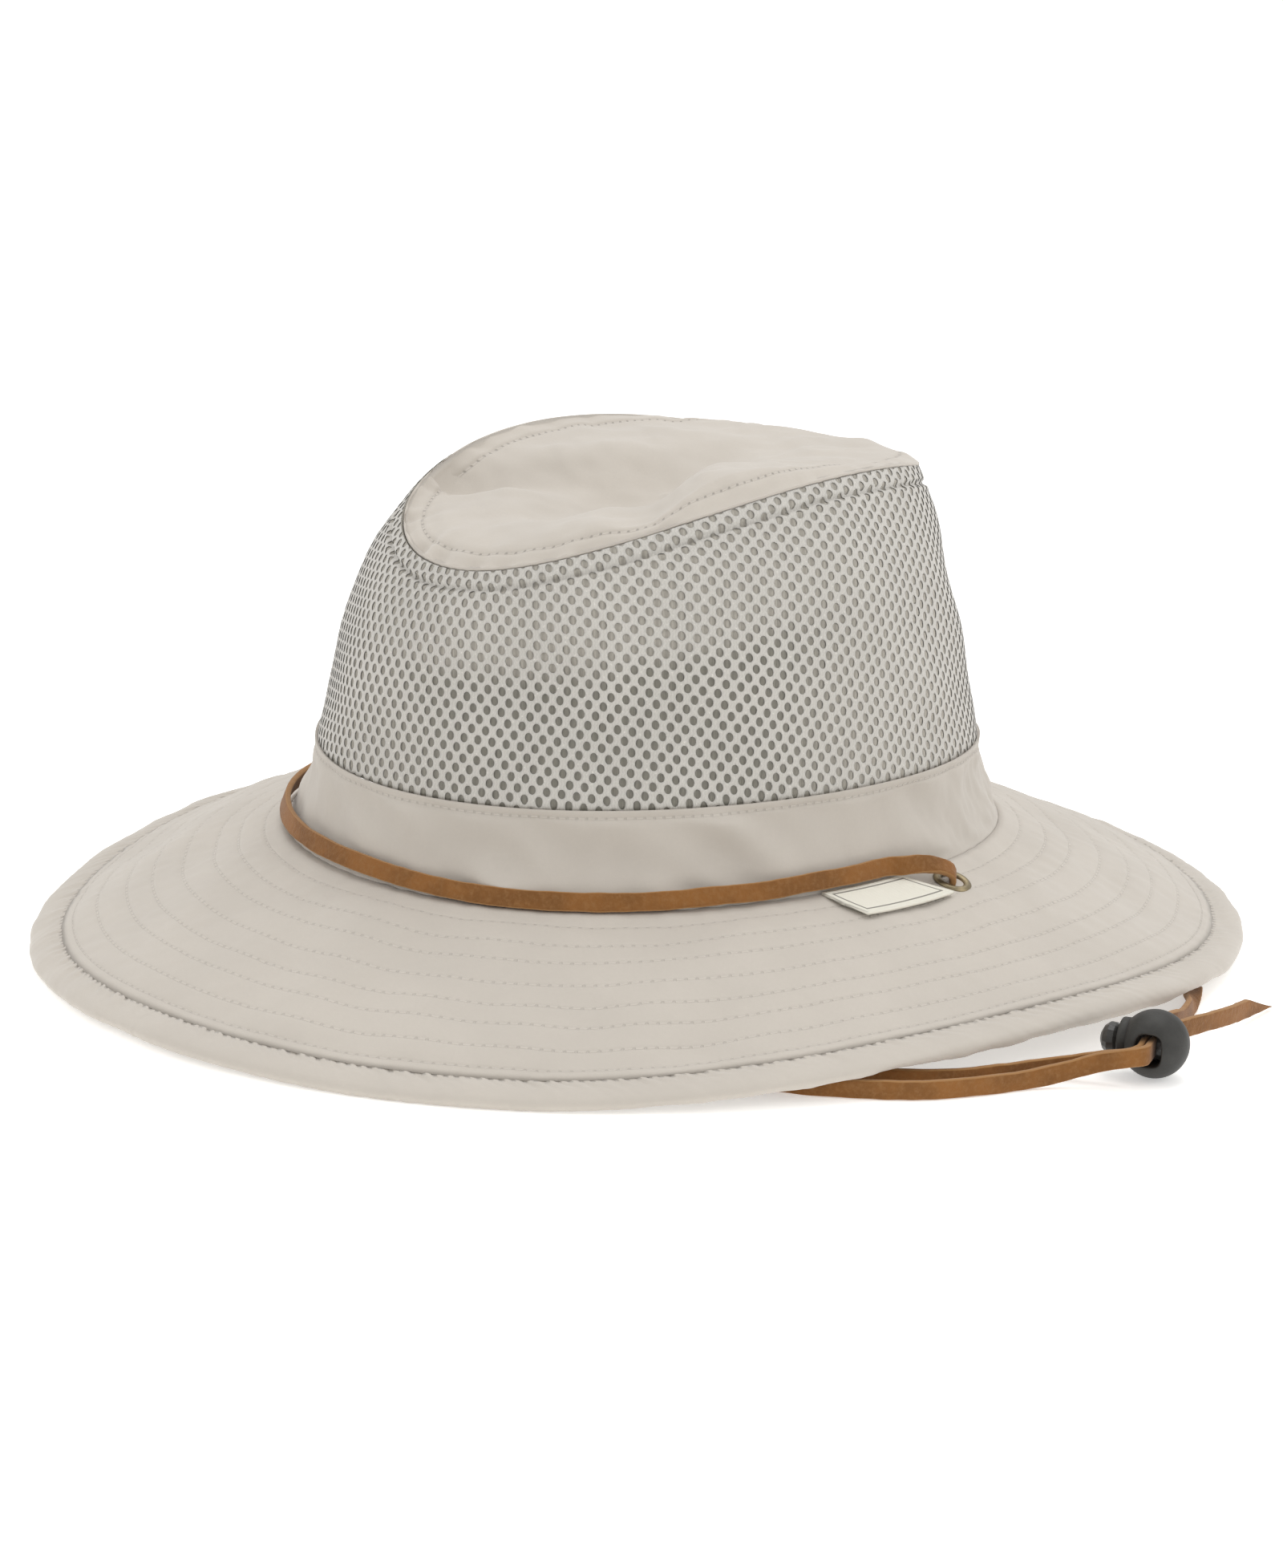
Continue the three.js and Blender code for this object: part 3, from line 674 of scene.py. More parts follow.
@dataclass(frozen=True)
class ClothFinish:
    """Light cotton-like cloth with rows of machine stitches along whole numbers of the map's second axis.

    gathers is how strongly the cloth is pulled in beside a seam that lies at seam on that axis.
    """

    color: Linear = (0.52, 0.478, 0.425)
    row_spacing: float = 7.4
    stitched: bool = True
    rows: tuple[float, float] = (0.5, 8.5)
    strength: float = 0.62
    gathers: float = 0.0
    seam: float = 0.25
    edge: float = 0.02
    weave_scales: tuple[float, float] = (2600, 900)
    patch_scale: float = 38
    relief: float = 0.00022
    roughness: float = 0.86
    sheen: float = 0.25

    def gather(self, g: Graph, stitch: Wire, row: Wire, color: Any, height: Wire) -> tuple[Any, Wire]:
        """Paint shade into the notches and along the line of a gathered seam, and raise slanting folds
        beside it.

        Args:
            g: the graph.
            stitch: place along the seam, in stitches.
            row: place across it.
            color: colour so far.
            height: height so far.

        Returns:
            Colour and height with the gathers in them.
        """
        below = row - self.seam
        beside = 1.0 - below.apply("ABSOLUTE").step(0.05, 0.2)
        notch = ((stitch + below * 1.4 + g.noise(160, 2.0) * 0.12) * TURN).apply("COSINE") * 0.5 + 0.5
        notch = notch.step(0.35, 0.95) * beside
        soft = 1.0 - (row - 0.5).apply("ABSOLUTE").step(0.15, 0.6)
        wave = ((stitch * 0.47 + row * 1.1 + g.noise(55, 2.0) * 2.6) * TURN).apply("SINE")
        thin = 1.0 - below.apply("ABSOLUTE").step(0.02, 0.07)
        # painted shade: the notches, and a thin line along the seam, darkened in colour
        color = g.mix((notch * 0.5).apply("MAXIMUM", thin * 0.05), color, tint(self.color, 0.5))
        return color, height + wave * soft * (0.5 * self.gathers) - notch * (1.2 * self.gathers)

    def sew(self, g: Graph, stitch: Wire, row: Wire, color: Any, height: Wire) -> tuple[Any, Wire]:
        """Draw the rows of stitches: a shallow groove and pricks between the threads darkened with painted
        shade, and raised threads with a painted highlight.

        Args:
            g: the graph.
            stitch: place along a row, in stitches.
            row: place across the rows, whole numbers lying on them.
            color: colour so far.
            height: height so far.

        Returns:
            Colour and height with the stitches in them.
        """
        near = (row - row.apply("ROUND")).apply("ABSOLUTE") * self.row_spacing
        first, last = self.rows
        inside = row.step(first, first + self.edge) * (1.0 - row.step(last - self.edge, last))
        groove = (1.0 - near.step(0.25, 1.1)) * inside
        phase = (stitch - stitch.apply("FLOOR") - 0.5).apply("ABSOLUTE") * 2.0
        prick = (1.0 - near.step(0.15, 0.55)) * phase.step(0.66, 0.9) * inside
        thread = (1.0 - near.step(0.1, 0.34)) * (1.0 - phase.step(0.62, 0.8)) * inside
        # painted shade in the groove, painted highlight on the threads and painted shade in the pricks
        color = g.mix(groove * (0.04 * self.strength), color, tint(self.color, 0.6))
        color = g.mix(thread * 0.5, color, tint(self.color, 1.12))
        color = g.mix(prick * (0.3 * self.strength), color, tint(self.color, 0.45))
        return color, height - groove * 0.25 + thread * 0.5 - prick * 0.5

    def build(self, name: str) -> bpy.types.Material:
        """Make the material.

        Args:
            name: name of the material.

        Returns:
            The material.
        """
        g = Graph(name)
        weave = g.noise(self.weave_scales[0], 2.0) * 0.5 + g.noise(self.weave_scales[1], 3.0) * 0.5
        patchy = g.noise(self.patch_scale, 4.0, 0.55)
        color = g.mix(patchy.step(0.3, 0.7), tint(self.color, 0.97), tint(self.color, 1.02))
        color = g.mix(weave.step(0.35, 0.65) * 0.2, color, tint(self.color, 0.9))
        height = weave * 0.25
        stitch, row = g.uv()
        if self.gathers:
            color, height = self.gather(g, stitch, row, color, height)
        if self.stitched:
            color, height = self.sew(g, stitch, row, color, height)
        g.relief(height, self.relief)
        return g.finish(
            Base_Color=color, Roughness=self.roughness, Sheen_Weight=self.sheen, Sheen_Roughness=0.5
        )


@dataclass(frozen=True)
class MeshFinish:
    """Knitted spacer mesh: staggered oval holes in a light rib face.

    The map runs in millimetres. Two rectangular sets of holes, shifted by half a cell, give the pattern.
    """

    color: Linear = (0.53, 0.51, 0.473)
    pitch: float = 3.95
    period: float = 5.36
    hole: tuple[float, float] = (1.0, 1.22)
    rim: tuple[float, float] = (0.92, 1.35)
    cut: tuple[float, float] = (0.9, 1.04)
    yarn_pitch: float = 0.79
    loop_pitch: float = 1.3
    loop_reach: float = 0.18
    relief: float = 0.00024
    roughness: float = 0.7
    sheen: float = 0.2

    def hole_distance(self, g: Graph, u: Wire, v: Wire, shift: float) -> Wire:
        """Distance from the nearest hole's middle, 1 at its rim.

        Args:
            g: the graph.
            u: the map's first number.
            v: the map's second number.
            shift: place of the set of holes, in cells.

        Returns:
            The distance as a wire.
        """
        x = (u / self.pitch + shift).apply("FRACT") - 0.5
        y = (v / self.period + shift).apply("FRACT") - 0.5
        x, y = x * (self.pitch / self.hole[0]), y * (self.period / self.hole[1])
        return (x * x + y * y).apply("SQRT")

    def build(self, name: str) -> bpy.types.Material:
        """Make the material.

        Args:
            name: name of the material.

        Returns:
            The material.
        """
        g = Graph(name)
        u, v = g.uv()
        near = self.hole_distance(g, u, v, 0.0).apply("MINIMUM", self.hole_distance(g, u, v, 0.5))
        loop = (v * (TURN / self.loop_pitch)).apply("SINE") * self.loop_reach
        yarn = ((u / self.yarn_pitch + loop) * TURN).apply("SINE") * 0.5 + 0.5
        fuzz = g.noise(1300, 3.0)
        patchy = g.noise(45, 3.0)
        rib = near.step(*self.rim)
        # painted shade: the face darkens towards each hole's rim
        color = g.mix(rib, tint(self.color, 0.88), tint(self.color, 1.0))
        color = g.mix(yarn * 0.26 + fuzz * 0.16, color, tint(self.color, 0.66))
        # whitish flecks on the yarn, lightened further with a painted highlight
        color = g.mix(fuzz.step(0.55, 0.75) * yarn * 0.7, color, tint(self.color, 1.45))
        color = g.mix(patchy.step(0.35, 0.7) * 0.2, color, tint(self.color, 1.2))
        g.relief(rib * 0.7 + yarn * 0.35 + fuzz * 0.5, self.relief)
        alpha = near.step(*self.cut)
        return g.finish(Base_Color=color, Roughness=self.roughness, Sheen_Weight=self.sheen, Alpha=alpha)


@dataclass(frozen=True)
class BackingFinish:
    """Inner face of the spacer mesh, seen through its holes.

    Its colour holds painted light and shade: painted shade low down at the left front, and painted light
    above a slanting line and round the sides, standing for the crown's lit inside showing through, lighter
    still at the right side as the camera sees it. Places are in metres; ahead points from the hat's middle
    towards the camera, and the numbers level, side and front are measured up and across it.
    """

    # dark is the painted shade and pale the painted light of the backing's colour
    dark: Linear = (0.2, 0.19, 0.16)
    pale: Linear = (0.385, 0.36, 0.315)
    slope: float = 0.12
    level: float = 0.0944
    side: float = 0.052
    front: float = -0.058
    ahead: tuple[float, float] = (0.731, -0.682)
    strand_pitch: float = 1.1
    unevenness: float = 0.02
    relief: float = 0.0002

    def build(self, name: str) -> bpy.types.Material:
        """Make the material.

        Args:
            name: name of the material.

        Returns:
            The material.
        """
        g = Graph(name)
        u, _ = g.uv()
        strand = (u * (TURN / self.strand_pitch)).apply("SINE") * 0.5 + 0.5
        split = g.add("ShaderNodeSeparateXYZ", sockets={0: g.place()})
        x, y, z = (Wire(g, split.outputs[axis]) for axis in "XYZ")
        across = x * -self.ahead[1] + y * self.ahead[0]
        uneven = g.noise(28, 3.0) * self.unevenness - self.unevenness / 2
        # painted light above the slanting line and round the sides and the front; painted shade everywhere
        # else
        above = (z - across * self.slope + uneven).step(self.level - 0.004, self.level + 0.006)
        round_side = (across + uneven).step(self.side - 0.03, self.side + 0.01)
        round_front = (self.front - across + uneven).step(-0.012, 0.02)
        lit = above.apply("MAXIMUM", round_side).apply("MAXIMUM", round_front * 0.7)
        color = g.mix(lit, self.dark, self.pale)
        # painted light: lighter still at the right side as the camera sees it
        toward = (x * self.ahead[0] + y * self.ahead[1]).step(-0.02, 0.015)
        color = g.mix(across.step(self.side - 0.005, self.side + 0.03) * toward, color, tint(self.pale, 1.2))
        color = g.mix(strand * 0.3, color, tint(self.dark, 0.8))
        g.relief(strand, self.relief)
        return g.finish(Base_Color=color, Roughness=0.85)


@dataclass(frozen=True)
class SuedeFinish:
    """Tan suede strip, paler on its cut edges."""

    color: Linear = (0.212, 0.086, 0.018)
    edge: Linear = (0.33, 0.17, 0.062)

    def build(self, name: str) -> bpy.types.Material:
        """Make the material.

        Args:
            name: name of the material.

        Returns:
            The material.
        """
        g = Graph(name)
        _, v = g.uv()
        nap = g.noise(700, 5.0, 0.65)
        patchy = g.noise(90, 3.0)
        color = g.mix(patchy.step(0.3, 0.7), tint(self.color, 0.8), tint(self.color, 1.15))
        color = g.mix(nap.step(0.4, 0.75) * 0.5, color, tint(self.edge, 0.85))
        color = g.mix(v.step(0.5, 0.9), color, self.edge)
        g.relief(nap, 0.0003)
        return g.finish(Base_Color=color, Roughness=0.95, Sheen_Weight=0.15, Sheen_Roughness=0.4)


@dataclass(frozen=True)
class HardFinish:
    """Metal or plastic with faint wear."""

    color: Linear
    roughness: float
    metallic: float = 0.0
    wear: float = 0.15
    specular: float = 0.5

    def build(self, name: str) -> bpy.types.Material:
        """Make the material.

        Args:
            name: name of the material.

        Returns:
            The material.
        """
        g = Graph(name)
        rub = g.noise(300, 4.0)
        color = g.mix(rub.step(0.35, 0.75), tint(self.color, 1 - self.wear), tint(self.color, 1 + self.wear))
        g.relief(g.noise(1500, 3.0), 0.00006)
        rough = rub * 0.16 + (self.roughness - 0.08)
        return g.finish(
            Base_Color=color, Roughness=rough, Metallic=self.metallic, Specular_IOR_Level=self.specular
        )


@dataclass(frozen=True)
class LabelFinish:
    """Woven tab with a thin border line; its map runs from 0 to 1 both ways."""

    color: Linear = (0.84, 0.815, 0.72)
    line: Linear = (0.16, 0.15, 0.13)
    size: tuple[float, float] = (27.5, 12.3)
    inset: float = 1.7
    width: float = 0.32

    def build(self, name: str) -> bpy.types.Material:
        """Make the material.

        Args:
            name: name of the material.

        Returns:
            The material.
        """
        g = Graph(name)
        u, v = g.uv()
        ways = [((w - 0.5).apply("ABSOLUTE") * -2.0 + 1.0) * (s / 2) for w, s in zip((u, v), self.size)]
        near = ways[0].apply("MINIMUM", ways[1])
        border = 1.0 - (near - self.inset).apply("ABSOLUTE").step(self.width * 0.6, self.width)
        rib = (v * (TURN * self.size[1] / 0.45)).apply("SINE") * 0.5 + 0.5
        color = g.mix(rib * 0.25 + g.noise(500, 3.0) * 0.2, self.color, tint(self.color, 0.85))
        color = g.mix(border * 0.85, color, self.line)
        g.relief(rib + g.noise(1800, 2.0) * 0.6, 0.00012)
        return g.finish(Base_Color=color, Roughness=0.75)


# Cloth pieces of the crown


@dataclass
class CrownTip:
    """Cloth top of the crown with its folded, top-stitched and slightly puckered edge."""

    around: int = 420
    rings: int = 72
    thickness: float = 1.4
    lap: float = 0.7
    stitch_inset: float = 6.3
    stitch_length: float = 2.7
    crowding: float = 1.8
    inner_rings: int = 24
    puff_front: Bell = Bell(5.2, 85, 40)
    puff_left: Bell = Bell(6.6, 18, 34)
    puff_rise: tuple[float, float] = (0, 7)
    puff_fade: tuple[float, float] = (10, 48)
    pucker_depth: Bell = Bell(0.5, 3.0, 5.5)
    pucker_least: float = 0.35
    pucker_front: Bell = Bell(1.0, 118, 38)
    pucker_left: Bell = Bell(0.4, 60, 25)
    pucker_waves: Ripples = Ripples(5, 5, 13)
    groove_depth: float = 0.42
    groove_width: float = 0.75
    soft_depth: float = 0.45
    soft_waves: Ripples = Ripples(11, 16, 55)
    fine_depth: float = 0.12
    fine_waves: Ripples = Ripples(12, 5, 12)
    rim_drop: float = 0.9
    fold_drop: float = 0.35

    def form(self, bearing: Array, out: Array) -> Array:
        """Outer face, puffed up inside its rim at the front and the left front, as cloth stands at a seam.

        Args:
            bearing: radians, a column.
            out: share of the way from the middle to the seam, a row.

        Returns:
            Grid of points.
        """
        points = FORM.tip(bearing, out)
        inset = np.linalg.norm(points[:, -1:, :2], axis=-1) * (1 - out)
        degrees = (np.degrees(bearing) + 180) % 360 - 180
        high = self.puff_front.at(degrees) + self.puff_left.at(degrees)
        points[..., 2] += high * ease(inset, *self.puff_rise) * (1 - ease(inset, *self.puff_fade))
        return points

    def surface(self) -> tuple[Array, Array]:
        """Outer face and its map.

        Rings crowd towards the rim by 1 - (1 - s)^crowding. The cloth gains a lap at the rim, a groove along
        the stitches, radial puckers that die away inwards, and soft unevenness.

        Returns:
            Points and map places, both as grids.
        """
        bearing = round_bearings(self.around)
        out = 1 - (1 - np.linspace(0, 1, self.rings)[None, :]) ** self.crowding
        points = self.form(bearing, out)
        normal = grid_normals(points)
        normal[:, 0] = (0, 0, -1)
        normal = -normal * np.sign(normal[:, :1, 2:3])
        run = arc_length(points, 1)
        inset = run[:, -1:] - run
        along = np.broadcast_to(arc_length(points[:, -1:], 0), inset.shape)
        degrees = np.degrees(bearing)
        front = self.pucker_least + self.pucker_front.at(degrees) + self.pucker_left.at(degrees)
        wave = self.pucker_waves.at(stack(along, 0 * along, 0 * along))
        pucker = front * wave * self.pucker_depth.at(inset) * ease(inset, 0, 1.0)
        groove = self.groove_depth * bump(inset, self.stitch_inset, self.groove_width)
        lap = self.lap * (1 - ease(inset, 4.0, 9))
        soft = self.soft_depth * self.soft_waves.at(points) * ease(inset, 0, 14)
        soft = soft + self.fine_depth * self.fine_waves.at(points) * ease(inset, 0, 6)
        points = points + (pucker - groove + lap + soft)[..., None] * normal
        uv = np.stack([along / self.stitch_length, inset / self.stitch_inset], -1)
        return points, uv

    def build(self) -> bpy.types.Object:
        """Make the piece: outer face, folded rim and inner face, closed at both poles.

        Returns:
            The object.
        """
        outer, uv = self.surface()
        bearing = round_bearings(self.around)
        out = 1 - (1 - np.linspace(0, 1, self.inner_rings)[None, :]) ** self.crowding
        inner = self.form(bearing, out) - (0, 0, self.thickness)
        pull = 1 - self.thickness / np.linalg.norm(inner[:, -1:, :2], axis=-1, keepdims=True)
        inner[..., :2] *= blend(1.0, pull, out[..., None] ** 4)
        inner[:, -1, 2] = outer[:, -1, 2] + 0.1
        outer[:, -1, 2] -= self.rim_drop
        fold = 0.5 * (outer[:, -1:] + inner[:, -1:]) - (0, 0, self.fold_drop)
        points = np.concatenate([outer, fold, inner[:, ::-1]], axis=1)
        plain = np.repeat(uv[:, -1:], self.inner_rings + 1, axis=1)
        grid = Grid(points, np.concatenate([uv, plain], axis=1), closed_columns=False)
        return grid.to_object("tip_cloth")


@dataclass
class MeshWall:
    """Spacer mesh wall: a pierced outer face and a backing behind it.

    The map is the wall laid out flat as part of a cone's ring, so that its rows are level at the front and
    turn towards the sides, as cut cloth does.
    """

    around: int = 400
    rows: int = 50
    close_share: float = 0.13
    close_rows: int = 21
    cone_radius: float = 334.0
    row_turn: float = 3.0
    column_lean: float = 8.5
    face: float = 0.09
    depth: float = 0.21
    backing: float = 0.8
    tuck: float = 0.6
    strip_rise: float = 0.5
    strip_edge: tuple[float, float] = (4.0, 4.8)
    strip_groove: Bell = Bell(0.7, 5.1, 0.7)
    strip_ridge: Bell = Bell(0.3, 6.6, 0.9)
    soft_depth: float = 0.35
    soft_waves: Ripples = Ripples(21, 22, 60)
    sink: float = 0.25

    def surface(self) -> tuple[Array, Array]:
        """Outer face and its map, starting and ending at the back.

        The face gains a sewn strip below the seam, with a groove and a ridge under it, and soft unevenness.

        Returns:
            Points and map places, both as grids.
        """
        bearing = round_bearings(self.around, -np.pi / 2)
        close = 1 - np.linspace(0, self.close_share, self.close_rows)
        up = np.unique(np.concatenate([np.linspace(0, 1, self.rows), close]))[None, :]
        points = FORM.wall(np.mod(bearing, TURN), up)
        slant = arc_length(points, 1)
        left = slant[:, -1:] - slant
        arc = arc_length(points[:, :1], 0)
        turn = (arc - arc[len(arc) // 2]) / self.cone_radius
        radius = self.cone_radius - slant
        u, v = radius * np.sin(turn), self.cone_radius - radius * np.cos(turn)
        rows, lean = np.radians(self.row_turn), np.radians(self.column_lean)
        skewed = [u * np.cos(lean) - v * np.sin(lean), u * np.sin(rows) + v * np.cos(rows)]
        uv = np.stack(skewed, -1) / np.cos(rows - lean)
        normal = -grid_normals(points)
        points[:, 0, 2] -= self.tuck
        strip = self.strip_rise * (1 - ease(left, *self.strip_edge))
        strip = strip - self.strip_groove.at(left) + self.strip_ridge.at(left)
        soft = self.soft_depth * self.soft_waves.at(points) * ease(slant, 0, 12) * ease(left, 0, 10)
        return points + (strip + soft - self.sink)[..., None] * normal, uv

    def build(self) -> list[bpy.types.Object]:
        """Make the pierced face and the backing.

        Returns:
            Both objects.
        """
        outer, uv = self.surface()
        normal = -grid_normals(outer)
        face = shell("mesh_face", outer, outer - self.face * normal, uv)
        front = outer - self.depth * normal
        back = shell("mesh_backing", front, front - self.backing * normal, uv)
        return [face, back]


@dataclass
class Hatband:
    """Cloth band with a stitched upper edge, soft creases and small upright wrinkles on one side."""

    around: int = 420
    rows: int = 44
    thickness: float = 1.5
    stitch_inset: float = 2.2
    stitch_length: float = 2.5
    crease_depth: float = 0.55
    creases: Ripples = Ripples(31, 9, 30, (1, 1, 1.6))
    wrinkle_depth: float = 0.16
    wrinkles: Ripples = Ripples(32, 3.5, 8, (1, 1, 0.15))
    wrinkle_least: float = 0.25
    wrinkle_round: Bell = Bell(1.0, -38, 22)
    lap: float = 0.45
    groove_depth: float = 0.4
    groove_width: float = 0.6
    rounding: float = 0.3

    def build(self) -> bpy.types.Object:
        """Make the piece. The face gains a groove along the stitches, creases and wrinkles.

        Returns:
            The object.
        """
        bearing = round_bearings(self.around)
        points = FORM.band(bearing, np.linspace(0, 1, self.rows)[None, :])
        normal = -grid_normals(points)
        run = arc_length(points, 1)
        left = run[:, -1:] - run
        along = np.broadcast_to(arc_length(points[:, -1:], 0), left.shape)
        degrees = (np.degrees(bearing) + 180) % 360 - 180
        soft = self.crease_depth * self.creases.at(points)
        share = self.wrinkle_least + self.wrinkle_round.at(degrees)
        fine = self.wrinkle_depth * self.wrinkles.at(points) * share
        edge = ease(left, 0, 5) * ease(run, 0, 4)
        lap = self.lap - self.groove_depth * bump(left, self.stitch_inset, self.groove_width)
        outer = points + ((soft + fine) * edge + lap)[..., None] * normal
        inner = points - self.thickness * normal
        uv = np.stack([along / self.stitch_length, left / self.stitch_inset], -1)
        return shell("band_cloth", outer, inner[:, ::4], uv, self.rounding)


# Brim


@dataclass
class BrimCloth:
    """Brim with eight rows of stitches, a seam by the crown and soft waves."""

    around: int = 560
    stitch_length: float = 2.9
    thickness: float = 2.2
    rows: tuple[float, ...] = (0.10, 0.22, 0.33, 0.47, 0.60, 0.71, 0.84, 0.95)
    beside: tuple[float, ...] = (-0.018, -0.009, 0.0, 0.009, 0.018)
    even_steps: int = 34
    groove_depth: float = 0.12
    groove_width: float = 0.85
    seam_height: float = 0.4
    seam_edge: tuple[float, float] = (2.4, 3.2)
    soft_depth: float = 0.42
    soft_waves: Ripples = Ripples(41, 22, 70)
    fine_depth: float = 0.07
    fine_waves: Ripples = Ripples(42, 4, 11)
    edge_drop: float = 0.12
    edge_width: float = 1.6

    def steps(self) -> Array:
        """Places across the brim, closer together beside each row of stitches."""
        close = (np.array(self.rows)[:, None] + np.array(self.beside)).ravel()
        return np.unique(np.clip(np.concatenate([np.linspace(0, 1, self.even_steps), close]), 0, 1))

    def build(self) -> bpy.types.Object:
        """Make the piece. The top sinks at each row, rises at the crown's seam and waves softly.

        Returns:
            The object.
        """
        bearing = round_bearings(self.around)
        across = self.steps()[None, :]
        points = FORM.brim(bearing, across)
        normal = grid_normals(points)
        normal = normal * np.sign(normal[..., 2:3])
        run = arc_length(points, 1)
        width = run[:, -1:]
        count = len(self.rows)
        row = np.interp(across, self.rows, np.arange(1, count + 1), left=0.5, right=count + 0.5)
        groove = sum(bump(run, width * place, self.groove_width) for place in self.rows)
        seam = self.seam_height * (1 - ease(run, *self.seam_edge))
        soft = self.soft_depth * self.soft_waves.at(points) * ease(run, 0, 12) * ease(width - run, 0, 8)
        fine = self.fine_depth * self.fine_waves.at(points)
        drop = self.groove_depth * groove + self.edge_drop * ease(run, width - self.edge_width, width)
        lift = soft + fine + seam - drop
        outer = points + lift[..., None] * normal
        inner = points + (soft - self.thickness)[..., None] * normal
        nearest = np.abs(across[0, :, None] - self.rows).argmin(1)
        centre = np.searchsorted(across[0], np.array(self.rows) - 1e-9)[nearest]
        along = arc_length(points, 0)[:, centre]
        uv = np.stack([along / self.stitch_length, np.broadcast_to(row, along.shape)], -1)
        return shell("brim_cloth", outer, inner[:, ::5], uv)


@dataclass
class Hem:
    """Padded roll round the brim, gathered along its seam and finely wrinkled aslant."""

    around: int = 1480
    stitch_length: float = 2.9
    seam: float = 1.5
    section: tuple[tuple[float, float], ...] = (
        (-9.9, 3.0),
        (-9.5, 3.62),
        (-8.9, 3.76),
        (-8.2, 3.56),
        (-7.2, 3.38),
        (-4.8, 2.95),
        (-2.4, 2.2),
        (-0.7, 1.25),
        (0.0, 0.0),
        (-0.5, -1.35),
        (-1.8, -1.95),
        (-4.4, -1.75),
        (-7.2, -0.6),
        (-9.5, 1.0),
    )
    crest: int = 20
    map_width: float = 6.0
    wrinkle_depth: float = 0.11
    wrinkle_least: float = 0.3
    wrinkle_near: Bell = Bell(0.9, 3.0, 2.4)
    wrinkles: Ripples = Ripples(51, 3.2, 8, (1, 0, 0.5), 26)
    soft_depth: float = 0.22
    soft_waves: Ripples = Ripples(52, 12, 40)
    notch_depth: float = 0.17
    notch_turn: float = 1.4
    notch_offset: float = 0.2
    notch_width: float = 0.65
    floor_gap: float = 0.02

    def build(self) -> bpy.types.Object:
        """Make the piece: a closed spline section carried round the brim's edge, then wrinkled.

        Notches follow half of (1 + cos phase), squared, beside the seam; the phase turns once a stitch.

        Returns:
            The object.
        """
        outline = spline(np.array([(a, b, 0.0) for a, b in self.section + self.section[:1]]), 4)
        bearing = round_bearings(self.around)
        x, y = FORM.edge.at(bearing, outline[None, :, 0])
        z = FORM.edge_height(bearing) + outline[None, :, 1]
        points = stack(x, y, z)
        normal = grid_normals(points)
        crest = slice(self.crest, self.crest + 1)
        normal = normal * np.sign(normal[:, crest, 0:1] * points[:, crest, 0:1])
        along = arc_length(points[:, crest], 0)
        across = arc_length(points, 1)
        near = (self.wrinkle_least + self.wrinkle_near.at(across)) * ease(across, 0.8, 2.0)
        slant = stack(along + 0.9 * across, 0 * across, 0.35 * across)
        wrinkle = self.wrinkle_depth * near * self.wrinkles.at(slant)
        soft = self.soft_depth * self.soft_waves.at(points) * ease(across, 1, 6)
        phase = along / self.stitch_length + self.notch_turn * (across - self.seam) / self.map_width
        pull = (0.5 + 0.5 * np.cos(TURN * phase)) ** 2
        notch = self.notch_depth * pull * bump(across, self.seam + self.notch_offset, self.notch_width)
        points = points + (wrinkle - notch + soft * ease(z + 0 * across, 0.4, 3))[..., None] * normal
        points[..., 2] = np.maximum(points[..., 2], self.floor_gap)
        uv = np.stack(np.broadcast_arrays(along / self.stitch_length, across / self.map_width), -1)
        return Grid(points, uv).to_object("hem_cloth")


# Laces


def spline(points: Array, samples: int) -> Array:
    """Smooth curve through points: the centripetal cubic of each stretch, ends run on straight.

    Args:
        points: rows of three coordinates.
        samples: places on each stretch.

    Returns:
        Points of the curve, the last one included.
    """
    padded = np.concatenate([2 * points[:1] - points[1:2], points, 2 * points[-1:] - points[-2:-1]])
    p0, p1, p2, p3 = (padded[i : len(padded) - 3 + i, None, :] for i in range(4))
    pairs = ((p0, p1), (p1, p2), (p2, p3))
    d0, d1, d2 = (np.sqrt(np.linalg.norm(b - a, axis=-1, keepdims=True)) for a, b in pairs)
    m1 = ((p1 - p0) / d0 - (p2 - p0) / (d0 + d1) + (p2 - p1) / d1) * d1
    m2 = ((p2 - p1) / d1 - (p3 - p1) / (d1 + d2) + (p3 - p2) / d2) * d1
    t = (np.arange(samples) / samples)[None, :, None]
    cubic = (2 * p1 - 2 * p2 + m1 + m2) * t**3 + (3 * p2 - 3 * p1 - 2 * m1 - m2) * t**2
    curve = (cubic + m1 * t + p1).reshape(-1, 3)
    return np.concatenate([curve, points[-1:]])


